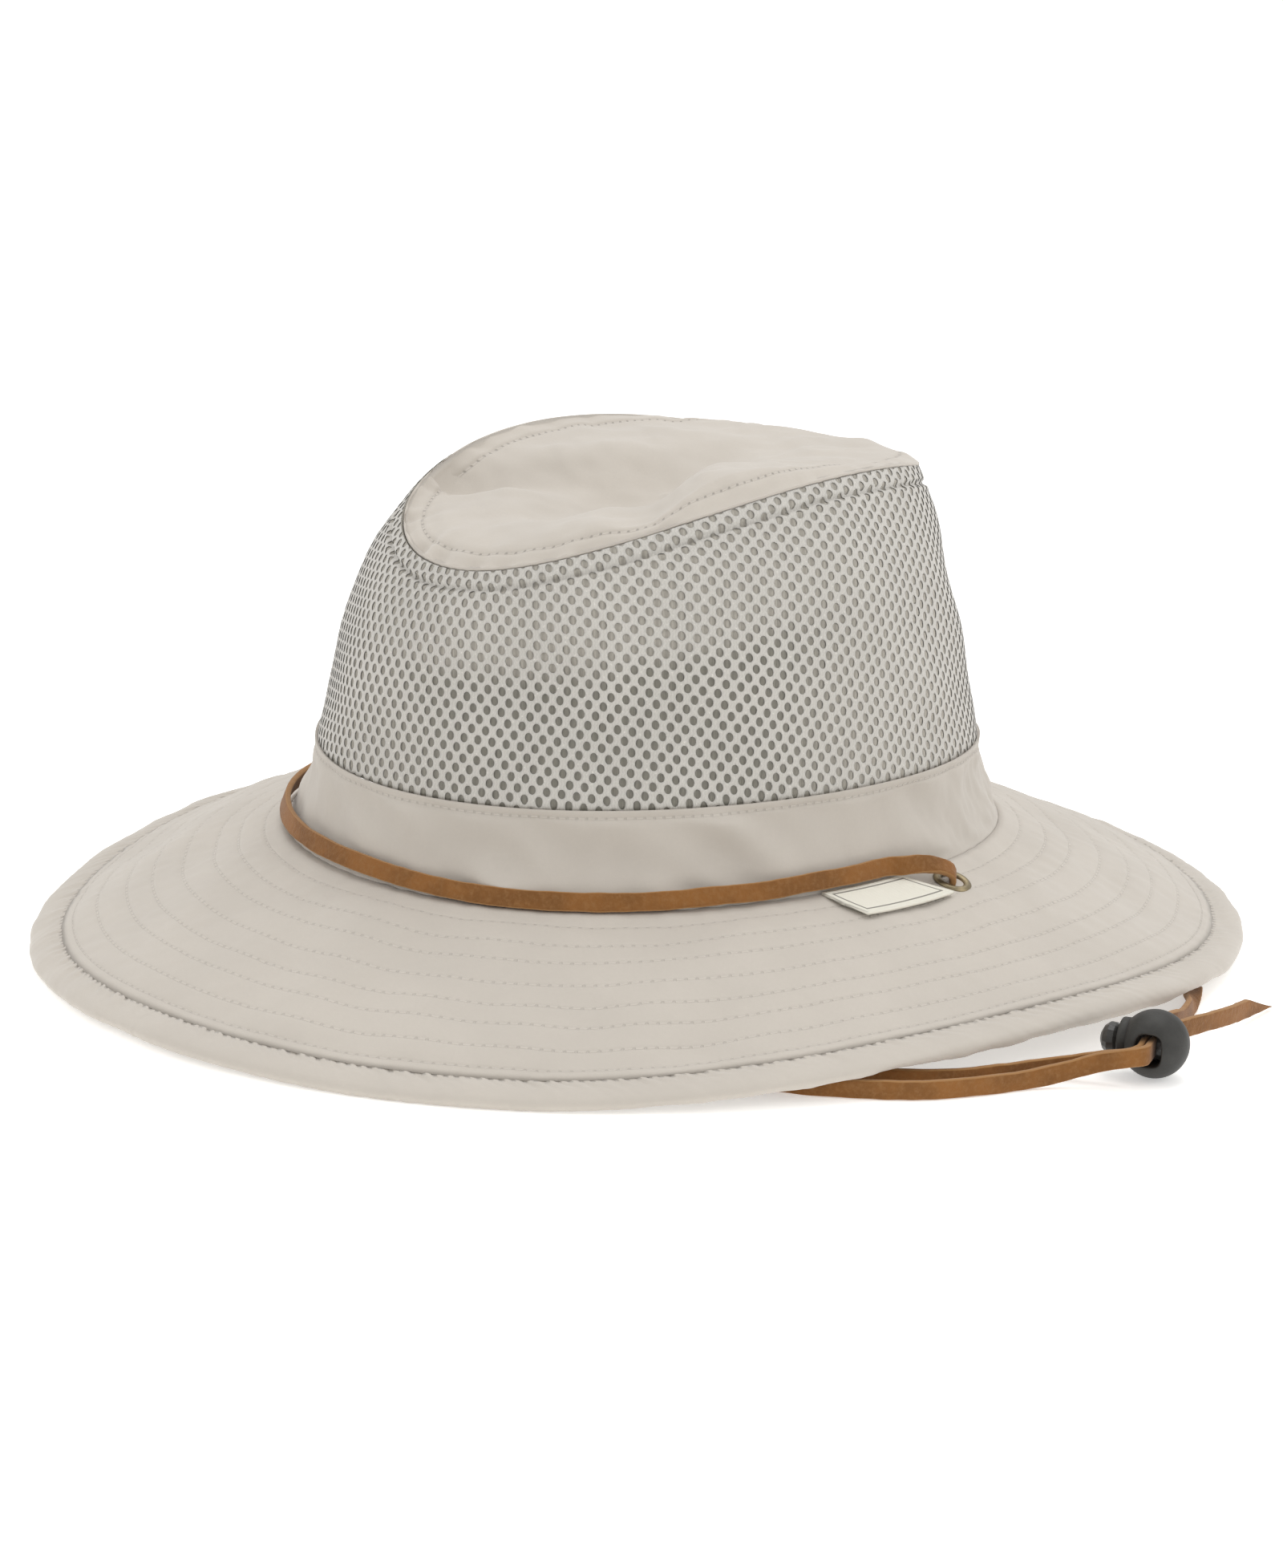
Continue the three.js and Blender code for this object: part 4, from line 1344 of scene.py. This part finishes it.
@dataclass
class Lace:
    """Flat suede lace along a route; each row gives a place and the way that its wide face looks."""

    name: str
    route: Array
    width: float = 5.0
    thickness: float = 1.7
    step: float = 1.2
    corner: float = 0.45
    slant: float = 0.0
    samples: int = 24

    def outline(self) -> tuple[Array, Array]:
        """Closed section with rounded corners.

        Returns:
            Its points, and a number for each that is 1 on the cut edges.
        """
        t, w, c = self.thickness / 2, self.width / 2, self.corner
        quarter = [(t, 0.0), (t, w * 0.55), (t, w - c), (t - c * 0.3, w - c * 0.3), (t - c, w)]
        half = np.array(quarter + [(-a, b) for a, b in quarter[::-1]])
        points = np.concatenate([half, -half[1:-1], half[:1]])
        edge = ease(np.abs(points[:, 1]), w - c * 1.4, w - c * 0.2)
        return points, edge

    def rings(self) -> tuple[Array, Array]:
        """Even steps along the spline of the route.

        Returns:
            Ring centres, and the wide face's normal at each.
        """
        fine = spline(self.route[:, :3], self.samples)
        run = arc_length(fine, 0)
        count = max(8, int(round(run[-1] / self.step)))
        even = np.linspace(0, run[-1], count + 1)
        centres = np.stack([np.interp(even, run, fine[:, k]) for k in range(3)], -1)
        marks = np.interp(even, run, np.arange(len(fine)) / self.samples)
        faces = unit(self.route[:, 3:])
        facing = np.stack([np.interp(marks, np.arange(len(faces)), faces[:, k]) for k in range(3)], -1)
        tangent = unit(np.gradient(centres, axis=0))
        along = (facing * tangent).sum(-1, keepdims=True)
        return centres, unit(facing - along * tangent)

    def build(self) -> tuple[bpy.types.Object, Array]:
        """Make the piece.

        Returns:
            The object and its ring centres in metres.
        """
        centres, facing = self.rings()
        across = np.cross(unit(np.gradient(centres, axis=0)), facing)
        points, edge = self.outline()
        nap = 0.02 * Ripples(61, 3, 14).at(centres)[:, None, None]
        aside = points[None, :, 1:] * (1 + nap)
        if self.slant:
            left = self.step * np.arange(len(centres))[::-1, None, None]
            aside = np.maximum(aside, self.width * (0.5 - np.clip(left / self.slant, 0.04, 1)))
        rings = centres[:, None] + facing[:, None] * points[None, :, :1] + across[:, None] * aside
        caps = [0 * rings[k] + rings[k].mean(1, keepdims=True) for k in (slice(0, 1), slice(-1, None))]
        rings = np.concatenate([caps[0], rings, caps[1]])
        rows = np.arange(len(rings))[:, None] * self.step
        uv = np.stack(np.broadcast_arrays(rows, edge[None, :]), -1)
        piece = Grid(rings, uv, closed_rows=False).to_object(self.name)
        return piece, centres * MM


@dataclass(frozen=True)
class CrownRoute:
    """Route of the lace from the left eyelet round the front of the crown to the right one."""

    leave: tuple[tuple[float, ...], ...] = (
        (96.66, 20.44, 31.54, 0.65, 0.75, -0.28),
        (97.38, 20.57, 33.67, 0.65, 0.75, -0.28),
        (97.7, 19.6, 35.9, 0.7, 0.7, 0.1),
        (96.5, 15.8, 37.8, 0.7, 0.55, 0.45),
        (94.6, 10.5, 38.7, 0.85, 0.3, 0.4),
        (93.2, 5.0, 38.8, 0.97, 0.1, 0.15),
    )
    stretch: tuple[float, float] = (-2, 182)
    places: int = 25
    margin: float = 0.8
    middle: float = 2.5
    tilt: float = 0.35
    start_rise: float = 1.2
    left_rise: Bell = Bell(0.8, 26, 9)
    front_rise: float = 1.7

    def rows(self) -> Array:
        """Rows of places and facings.

        The height is the crown's foot plus half the lace's width and three soft rises: beside the left
        eyelet, at the left and over the front.

        Returns:
            Rows of six numbers, as Lace takes them.
        """
        leave = np.array(self.leave)
        degrees = np.linspace(*self.stretch, self.places)
        bearing = np.radians(degrees)
        x, y = FORM.base.at(bearing, self.margin)
        lift = self.start_rise * (1 - ease(np.abs(degrees - 1.0), 11, 22)) + self.left_rise.at(degrees)
        lift = lift + self.front_rise * ease(degrees, 58, 96) * (1 - ease(degrees, 130, 165))
        z = FORM.base_level.at(bearing) + FORM.gap + lift + self.middle
        rows = np.stack([x, y, z, np.cos(bearing), -np.sin(bearing), 0 * bearing + self.tilt], -1)
        mirrored = (leave * (-1, 1, 1, -1, 1, 1))[::-1]
        return np.concatenate([leave, rows, mirrored])


# Each row of a route gives a place and the way that the lace's wide face looks
LEFT_ROUTE = np.array(
    [
        (96.57, 20.42, 31.25, 0.65, 0.75, -0.28),
        (95.85, 20.29, 29.12, 0.65, 0.75, -0.28),
        (94.9, 19.9, 26.0, 0.55, 0.85, -0.25),
        (93.5, 18.6, 19.4, 0.3, 1, -0.25),
        (92.6, 15.5, 10.8, 0.1, 1, -0.5),
        (92.3, 9.5, 4.2, 0, 0.7, -1),
        (93.0, 1.0, 1.4, 0, 0, -1),
        (94.8, -12.0, 1.1, 0, 0, -1),
        (101.0, -29.0, 1.1, 0, 0, -1),
        (113.78, -42.72, 1.5, 0.3, -0.3, -1),
        (127.56, -49.94, 2.4, 0.4, -1, -0.6),
        (137.21, -48.54, 2.7, 0.6, -0.8, 0),
        (146.1, -41.4, 2.7, 0.75, -0.65, 0),
        (152.4, -31.9, 2.7, 0.85, -0.5, 0),
        (156.4, -21.4, 2.8, 0.93, -0.36, 0),
        (159.8, -11.2, 3.1, 0.9, -0.45, 0),
        (165.2, -3.6, 4.2, 0.75, -0.65, 0),
        (171.8, 1.3, 6.1, 0.6, -0.8, 0),
        (177.5, 3.9, 7.7, 0.7, -0.7, 0),
        (178.9, 6.8, 8.5, 0.95, 0.25, 0),
        (177.29, 9.8, 9.1, 0.883, 0.469, 0),
        (174.94, 14.22, 9.1, 0.883, 0.469, 0),
        (170.72, 22.17, 9.1, 0.883, 0.469, 0),
        (167.5, 28.9, 9.7, 0.86, 0.46, -0.1),
        (163.2, 37.1, 8.3, 0.83, 0.43, -0.26),
        (156.1, 48.1, 4.6, 0.8, 0.55, 0),
        (147.6, 61.1, 2.8, 0.8, 0.58, 0.1),
        (139.6, 71.1, 2.0, 0.3, 0.25, 0.9),
        (132.6, 79.6, 1.1, 0, 0, 1),
    ]
)
RIGHT_ROUTE = np.array(
    [
        (-96.57, 20.42, 31.25, -0.65, 0.75, -0.28),
        (-95.85, 20.29, 29.12, -0.65, 0.75, -0.28),
        (-94.9, 19.9, 26.0, -0.55, 0.85, -0.25),
        (-93.2, 18.6, 19.4, -0.3, 1, -0.25),
        (-91.0, 15.5, 10.8, -0.1, 1, -0.5),
        (-86.5, 9.5, 4.0, 0, 0.7, -1),
        (-77.5, 2.0, 1.5, 0, 0, -1),
        (-64.0, -8.0, 1.2, 0, 0, -1),
        (-42.0, -23.0, 1.2, 0, 0, -1),
        (-16.0, -38.0, 1.2, 0, 0, -1),
        (13.0, -52.0, 1.2, 0, 0, -1),
        (44.0, -64.0, 1.2, 0, 0, -1),
        (76.0, -73.0, 1.2, 0, 0, -1),
        (104.78, -76.72, 1.8, 0.1, -0.4, -1),
        (123.06, -73.94, 2.6, 0.4, -1, -0.5),
        (135.21, -66.04, 2.7, 0.65, -0.75, 0),
        (145.8, -56.3, 2.7, 0.75, -0.65, 0),
        (154.4, -45.8, 2.7, 0.8, -0.6, 0),
        (160.2, -32.4, 2.7, 0.9, -0.4, 0),
        (164.2, -18.9, 2.8, 0.93, -0.36, 0),
        (168.4, -9.9, 4.3, 0.85, -0.5, 0),
        (173.9, -2.4, 6.8, 0.75, -0.65, 0),
        (179.6, 1.1, 8.6, 0.7, -0.7, 0),
        (181.9, 5.4, 9.1, 0.97, -0.15, 0),
        (180.6, 8.3, 9.1, 0.9, 0.44, 0),
        (179.15, 10.79, 9.1, 0.883, 0.469, 0),
        (176.8, 15.2, 9.1, 0.883, 0.469, 0),
        (172.58, 23.15, 9.1, 0.883, 0.469, 0),
        (170.6, 32.1, 8.4, 0.95, 0.3, 0),
        (167.9, 44.6, 7.2, 0.95, 0.3, 0),
        (164.4, 57.6, 5.7, 0.95, 0.35, 0),
        (160.0, 69.6, 4.3, 0.95, 0.35, 0),
        (155.4, 84.8, 3.4, 0.95, 0.35, 0),
    ]
)


# Hard pieces


def lathe(name: str, outline: list[tuple[float, float]], frame: Matrix, sides: int = 64) -> bpy.types.Object:
    """Turned ring from a closed outline.

    Args:
        name: name of the object.
        outline: radius and height of each point, in millimetres; the last joins the first.
        frame: turn and place of the axis, in millimetres.
        sides: steps round the axis.

    Returns:
        The object.
    """
    profile = np.array(outline + outline[:1])
    turn = round_bearings(sides)
    radius, height = profile[None, :, 0], profile[None, :, 1]
    local = stack(radius * np.cos(turn), radius * np.sin(turn), height)
    basis = np.array(frame)
    points = local @ basis[:3, :3].T + basis[:3, 3]
    return Grid(points, points[..., :2]).to_object(name)


class Side(Enum):
    """Side of the hat, as the sign of x."""

    LEFT = 1
    RIGHT = -1


@dataclass
class Eyelet:
    """Rolled brass eyelet set in the brim."""

    side: Side
    spot: tuple[float, float, float] = (97.0, 20.5, 32.53)
    normal: tuple[float, float, float] = (0.3192, 0.0576, 0.9459)
    middle: float = 4.25
    half_width: float = 1.15
    bore: float = 3.6
    top: tuple[float, float] = (0.3, 0.9)
    low: tuple[float, float] = (-2.7, -0.8)

    def build(self) -> bpy.types.Object:
        """Make the piece: a rounded flange above and below the brim, and a barrel between them.

        Returns:
            The object.
        """
        sign = self.side.value
        axis = Vector((self.normal[0] * sign, self.normal[1], self.normal[2]))
        spot = Vector((self.spot[0] * sign, self.spot[1], self.spot[2]))
        frame = Matrix.Translation(spot) @ axis.to_track_quat("Z", "Y").to_matrix().to_4x4()
        arc = np.radians(np.linspace(0, 180, 11))
        flanges = []
        for way, (foot, rise) in ((1, self.top), (-1, self.low)):
            radius = self.middle + way * self.half_width * np.cos(arc)
            flanges += list(zip(radius, foot + rise * np.sin(arc)))
        barrel = [(self.bore, self.low[0] + 0.1), (self.bore, self.top[0] - 0.1)]
        return lathe(f"eyelet_{self.side.name.lower()}_brass", flanges + barrel, frame)


@dataclass
class CordLock:
    """Ball of the cord lock, with a soft-edged cross hole and a collar for the plunger."""

    spot: tuple[float, float, float] = (176.6, 15.1, 9.1)
    bearing: float = 208.0
    radius: float = 8.9
    hole: tuple[float, float] = (3.4, 4.2)
    lip: float = 0.14
    squareness: float = 3.2
    funnel: float = 1.2
    collar: tuple[tuple[float, float], ...] = (
        (4.75, 6.0),
        (5.9, 6.0),
        (5.9, 8.4),
        (5.75, 8.8),
        (5.4, 9.0),
        (5.0, 8.95),
        (4.75, 8.7),
    )

    def axes(self) -> Matrix:
        """Frame of the lock: x along the plunger, y up, z along the hole.

        Returns:
            The frame, in millimetres.
        """
        angle = np.radians(self.bearing)
        push = Vector((np.cos(angle), np.sin(angle), 0))
        up = Vector((0, 0, 1))
        turn = Matrix((push, up, push.cross(up))).transposed().to_4x4()
        return Matrix.Translation(Vector(self.spot)) @ turn

    def ball(self) -> bpy.types.Object:
        """Sphere with a rounded rectangular hole: one closed section carried round the hole's axis.

        The bore's radius is (|cos / a|^n + |sin / b|^n)^(-1/n); its mouths are quadratic curves.

        Returns:
            The object.
        """
        turn = round_bearings(72)
        c, s = np.cos(turn), np.sin(turn)
        a, b = self.hole
        power = self.squareness
        bore = (np.abs(c / a) ** power + np.abs(s / b) ** power) ** (-1 / power)
        mouth = np.arcsin(bore / self.radius)
        polar = mouth + self.lip + (np.pi - 2 * (mouth + self.lip)) * np.linspace(0, 1, 49)[None, :]
        sphere = [self.radius * np.sin(polar), self.radius * np.cos(polar)]
        rim = np.sqrt(self.radius**2 - bore**2)
        t = np.linspace(0, 1, 8)[None, 1:-1]
        start = [sphere[0][:, -1:], sphere[1][:, -1:]]
        lip = [
            (1 - t) ** 2 * start[0] + 2 * t * (1 - t) * bore + t**2 * bore,
            (1 - t) ** 2 * start[1] - 2 * t * (1 - t) * rim - t**2 * (rim - self.funnel),
        ]
        inside = (rim - self.funnel) * np.linspace(-1, 1, 6)[None, :]
        r = np.concatenate([sphere[0], lip[0], np.repeat(bore, 6, 1), lip[0][:, ::-1], sphere[0][:, :1]], 1)
        z = np.concatenate([sphere[1], lip[1], inside, -lip[1][:, ::-1], sphere[1][:, :1]], 1)
        local = stack(r * c, r * s, z)
        basis = np.array(self.axes())
        points = local @ basis[:3, :3].T + basis[:3, 3]
        return Grid(points, points[..., :2]).to_object("lock_ball")

    def build(self) -> bpy.types.Object:
        """Make the piece: the ball joined with its collar."""
        frame = self.axes() @ Matrix.Rotation(np.pi / 2, 4, "Y")
        return join("lock_shell", [self.ball(), lathe("lock_collar", list(self.collar), frame)])


@dataclass
class LabelTab:
    """Small woven tab on the brim, slightly curled up at its outer edge."""

    bearing: float = 3.4
    length: float = 27.5
    width: float = 12.3
    thickness: float = 0.8
    lean: float = 6.0
    radius: float = 100.5
    clear: float = 0.55
    curl: float = 0.5
    corner_curl: float = 0.35

    def build(self) -> bpy.types.Object:
        """Make the piece: a thin closed sheet that follows the brim.

        It is lifted by clear + curl t^2 + corner_curl (2 s)^2 t, with s along it and t outwards.

        Returns:
            The object.
        """
        s = np.linspace(-0.5, 0.5, 41)[:, None]
        t = np.linspace(0, 1, 19)[None, :]
        bearing = np.radians(self.bearing) - (self.length * s + self.lean * t) / self.radius
        inner, outer = FORM.brim(bearing, np.zeros((1, 1))), FORM.brim(bearing, np.ones((1, 1)))
        span = np.linalg.norm((outer - inner)[..., :2], axis=-1)
        points = FORM.brim(bearing, (1 + self.width * t) / span)
        lift = self.clear + self.curl * t**2 + self.corner_curl * (2 * s) ** 2 * t
        under = points + stack(0 * lift, 0 * lift, lift)
        over = under + (0, 0, self.thickness)
        grid = np.concatenate([over, under[:, ::-1], over[:, :1]], axis=1)
        caps = [0 * grid[:1] + grid[k].mean(0) for k in (0, -1)]
        grid = np.concatenate([caps[0], grid, caps[1]], axis=0)
        uv = np.stack(np.broadcast_arrays(s + 0.5, t), -1)
        uv = np.concatenate([uv, uv[:, ::-1], uv[:, :1]], axis=1)
        uv = np.concatenate([uv[:1], uv, uv[-1:]], axis=0)
        return Grid(grid, uv, closed_rows=False).to_object("label_cloth_tab")


# Studio


@dataclass(frozen=True)
class Lamp:
    """One large soft lamp that looks at the hat, in metres and watts."""

    name: str
    spot: tuple[float, float, float]
    size: float
    power: float
    aim: tuple[float, float, float] = (0, 0, 0.05)

    def build(self) -> None:
        """Add the lamp to the scene."""
        data = bpy.data.lights.new(self.name, "AREA")
        data.size = self.size
        data.energy = self.power
        lamp = bpy.data.objects.new(self.name, data)
        lamp.location = self.spot
        lamp.rotation_euler = (Vector(self.aim) - Vector(self.spot)).to_track_quat("-Z", "Y").to_euler()
        bpy.context.scene.collection.objects.link(lamp)


@dataclass(frozen=True)
class Studio:
    """Pale floor, soft light and the camera of the photo."""

    target: tuple[float, float, float] = (-0.00082, -0.0028, 0.04196)
    right: tuple[float, float, float] = (0.67046, 0.74123, 0.03267)
    up: tuple[float, float, float] = (-0.20933, 0.14674, 0.96677)
    back: tuple[float, float, float] = (0.71180, -0.65502, 0.25355)
    distance: float = 1.4
    lens: float = 142.17
    sensor: float = 36.0
    sky: tuple[float, float, float, float] = (1.0, 0.99, 0.975, 1)
    sky_strength: float = 0.8
    floor_half: float = 30.0
    floor_glow: float = 0.4
    lamps: tuple[Lamp, ...] = (
        Lamp("key", (-0.55, -1.6, 1.5), 1.2, 5.4),
        Lamp("fill", (1.6, 0.75, 1.1), 1.4, 6.2),
        Lamp("top", (-0.2, 0.5, 1.9), 1.4, 13),
    )

    def camera(self) -> None:
        """Set the camera where the photo was taken from."""
        data = bpy.data.cameras.new("camera")
        data.lens = self.lens
        data.sensor_width = self.sensor
        data.sensor_fit = "HORIZONTAL"
        data.clip_start, data.clip_end = 0.05, 20
        eye = bpy.data.objects.new("camera", data)
        bpy.context.scene.collection.objects.link(eye)
        turn = Matrix((self.right, self.up, self.back)).transposed()
        eye.rotation_euler = turn.to_euler()
        eye.location = Vector(self.target) + self.distance * Vector(self.back)
        bpy.context.scene.camera = eye

    def build(self) -> None:
        """Make the floor, the world and the lamps."""
        world = bpy.data.worlds.new("studio")
        world.use_nodes = True
        background = world.node_tree.nodes["Background"]
        background.inputs[0].default_value = self.sky
        background.inputs[1].default_value = self.sky_strength
        bpy.context.scene.world = world
        bpy.context.scene.view_settings.view_transform = "Standard"
        for lamp in self.lamps:
            lamp.build()
        square = self.floor_half * np.array([(-1, -1, 0), (1, -1, 0), (1, 1, 0), (-1, 1, 0)])
        floor = mesh_object("floor", square, np.array([[0, 1, 2, 3]]), square[:, :2], False)
        g = Graph("floor_paper")
        tone = g.mix(g.noise(6, 2.0), (0.9, 0.9, 0.89), (0.93, 0.93, 0.925))
        glow = {"Emission_Color": (1.0, 0.995, 0.985), "Emission_Strength": self.floor_glow}
        floor.data.materials.append(g.finish(Base_Color=tone, Roughness=0.9, **glow))
        floor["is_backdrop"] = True


# Assembly


@dataclass
class Hat:
    """The dressed hat: builds every piece, gives it its finish and ties it to its solid."""

    tip_look: ClothFinish = ClothFinish(rows=(0.5, 1.5), row_spacing=6.3, strength=2.0)
    # painted shade: the band's cloth is the brim's colour darkened by a twentieth, for the shade on the band
    band_look: ClothFinish = ClothFinish((0.494, 0.454, 0.404), rows=(0.5, 1.5), row_spacing=2.2)
    brim_look: ClothFinish = ClothFinish()
    hem_look: ClothFinish = ClothFinish(stitched=False, gathers=0.9)
    satin: HardFinish = HardFinish((0.034, 0.033, 0.03), 0.52, specular=0.35)
    gloss: HardFinish = HardFinish((0.035, 0.034, 0.031), 0.3)
    brass: HardFinish = HardFinish((0.3, 0.245, 0.15), 0.42, 0.85, 0.3)
    tail_slant: float = 16.0
    made: list[bpy.types.Object] = field(default_factory=list)

    def dress(
        self, piece: bpy.types.Object, look: bpy.types.Material, slot: Slot, nodes: tuple[str, ...]
    ) -> bpy.types.Object:
        """Give a piece its finish and tie it to the frame.

        Args:
            piece: the object.
            look: its material.
            slot: the record's slot that it stands for; not used.
            nodes: the solids that it replaces, which are hidden; the hat's body carries the piece.

        Returns:
            The piece.
        """
        piece.data.materials.clear()
        piece.data.materials.append(look)
        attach(piece, "hat")
        if nodes:
            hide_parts(*nodes)
        self.made.append(piece)
        LOG.info("%s: %d faces", piece.name, len(piece.data.polygons))
        return piece

    def laces(self, frame: dict[str, Any]) -> None:
        suede = SuedeFinish().build("suede")
        crown, _ = Lace("crown_lace_suede", CrownRoute().rows()).build()
        self.dress(crown, suede, Slot.SUEDE, ("crown_lace",))
        lock = self.lock(frame)
        for name, route, pieces, slant in (
            ("chin_lace_left", LEFT_ROUTE, lock, 0.0),
            ("chin_lace_right", RIGHT_ROUTE, [], self.tail_slant),
        ):
            lace, path = Lace(f"{name}_suede", route, slant=slant).build()
            self.dress(lace, suede, Slot.SUEDE, (name,))
            length = float(np.linalg.norm(np.diff(path, axis=0), axis=-1).sum())
            LOG.info("%s: %.0f mm long", name, length * 1000)
            tuple(path[0])
            [tuple(p) for p in path]
            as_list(pieces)

    def lock(self, frame: dict[str, Any]) -> list[bpy.types.Object]:
        """Make the lock's ball and finish its plunger.


        Returns:
            Both pieces.
        """
        satin = self.satin.build("satin_plastic")
        gloss = self.gloss.build("gloss_plastic")
        ball = self.dress(CordLock().build(), satin, Slot.PLASTIC, ("cord_lock",))
        plunger = frame["nodes"]["lock_plunger"]
        plunger.data.materials.clear()
        plunger.data.materials.append(gloss)
        return [ball, plunger]

    def cloth(self) -> None:
        """Make the crown, the band, the brim, the hem and the label."""
        self.dress(CrownTip().build(), self.tip_look.build("tip_cloth"), Slot.CLOTH, ("crown_tip",))
        face, backing = MeshWall().build()
        self.dress(face, MeshFinish().build("mesh_face"), Slot.MESH, ("crown_mesh",))
        self.dress(backing, BackingFinish().build("mesh_backing"), Slot.MESH, ())
        self.dress(Hatband().build(), self.band_look.build("band_cloth"), Slot.CLOTH, ("hat_band",))
        self.dress(BrimCloth().build(), self.brim_look.build("brim_cloth"), Slot.CLOTH, ("brim",))
        self.dress(Hem().build(), self.hem_look.build("hem_cloth"), Slot.CLOTH, ("brim_hem",))
        self.dress(LabelTab().build(), LabelFinish().build("label_cloth"), Slot.LABEL, ("label_tab",))

    def trim(self) -> None:
        """Make the eyelets."""
        brass = self.brass.build("antique_brass")
        for side in Side:
            self.dress(Eyelet(side).build(), brass, Slot.BRASS, (f"eyelet_{side.name.lower()}",))


def corners(box: Any) -> list[list[float]]:
    """Two corners of a box as plain lists."""
    return [[float(v) for v in corner] for corner in box]


def main() -> None:
    """Build the scene and report its pieces."""
    logging.basicConfig(level=logging.INFO, format="%(name)s %(message)s")
    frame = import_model()
    cad_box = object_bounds()
    studio = Studio()
    studio.camera()
    hat = Hat()
    hat.laces(frame)
    hat.cloth()
    hat.trim()
    studio.build()
    LOG.info("%d pieces made", len(hat.made))
    {"cad": corners(cad_box), "scene": corners(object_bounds())}


if __name__ == "__main__":
    main()
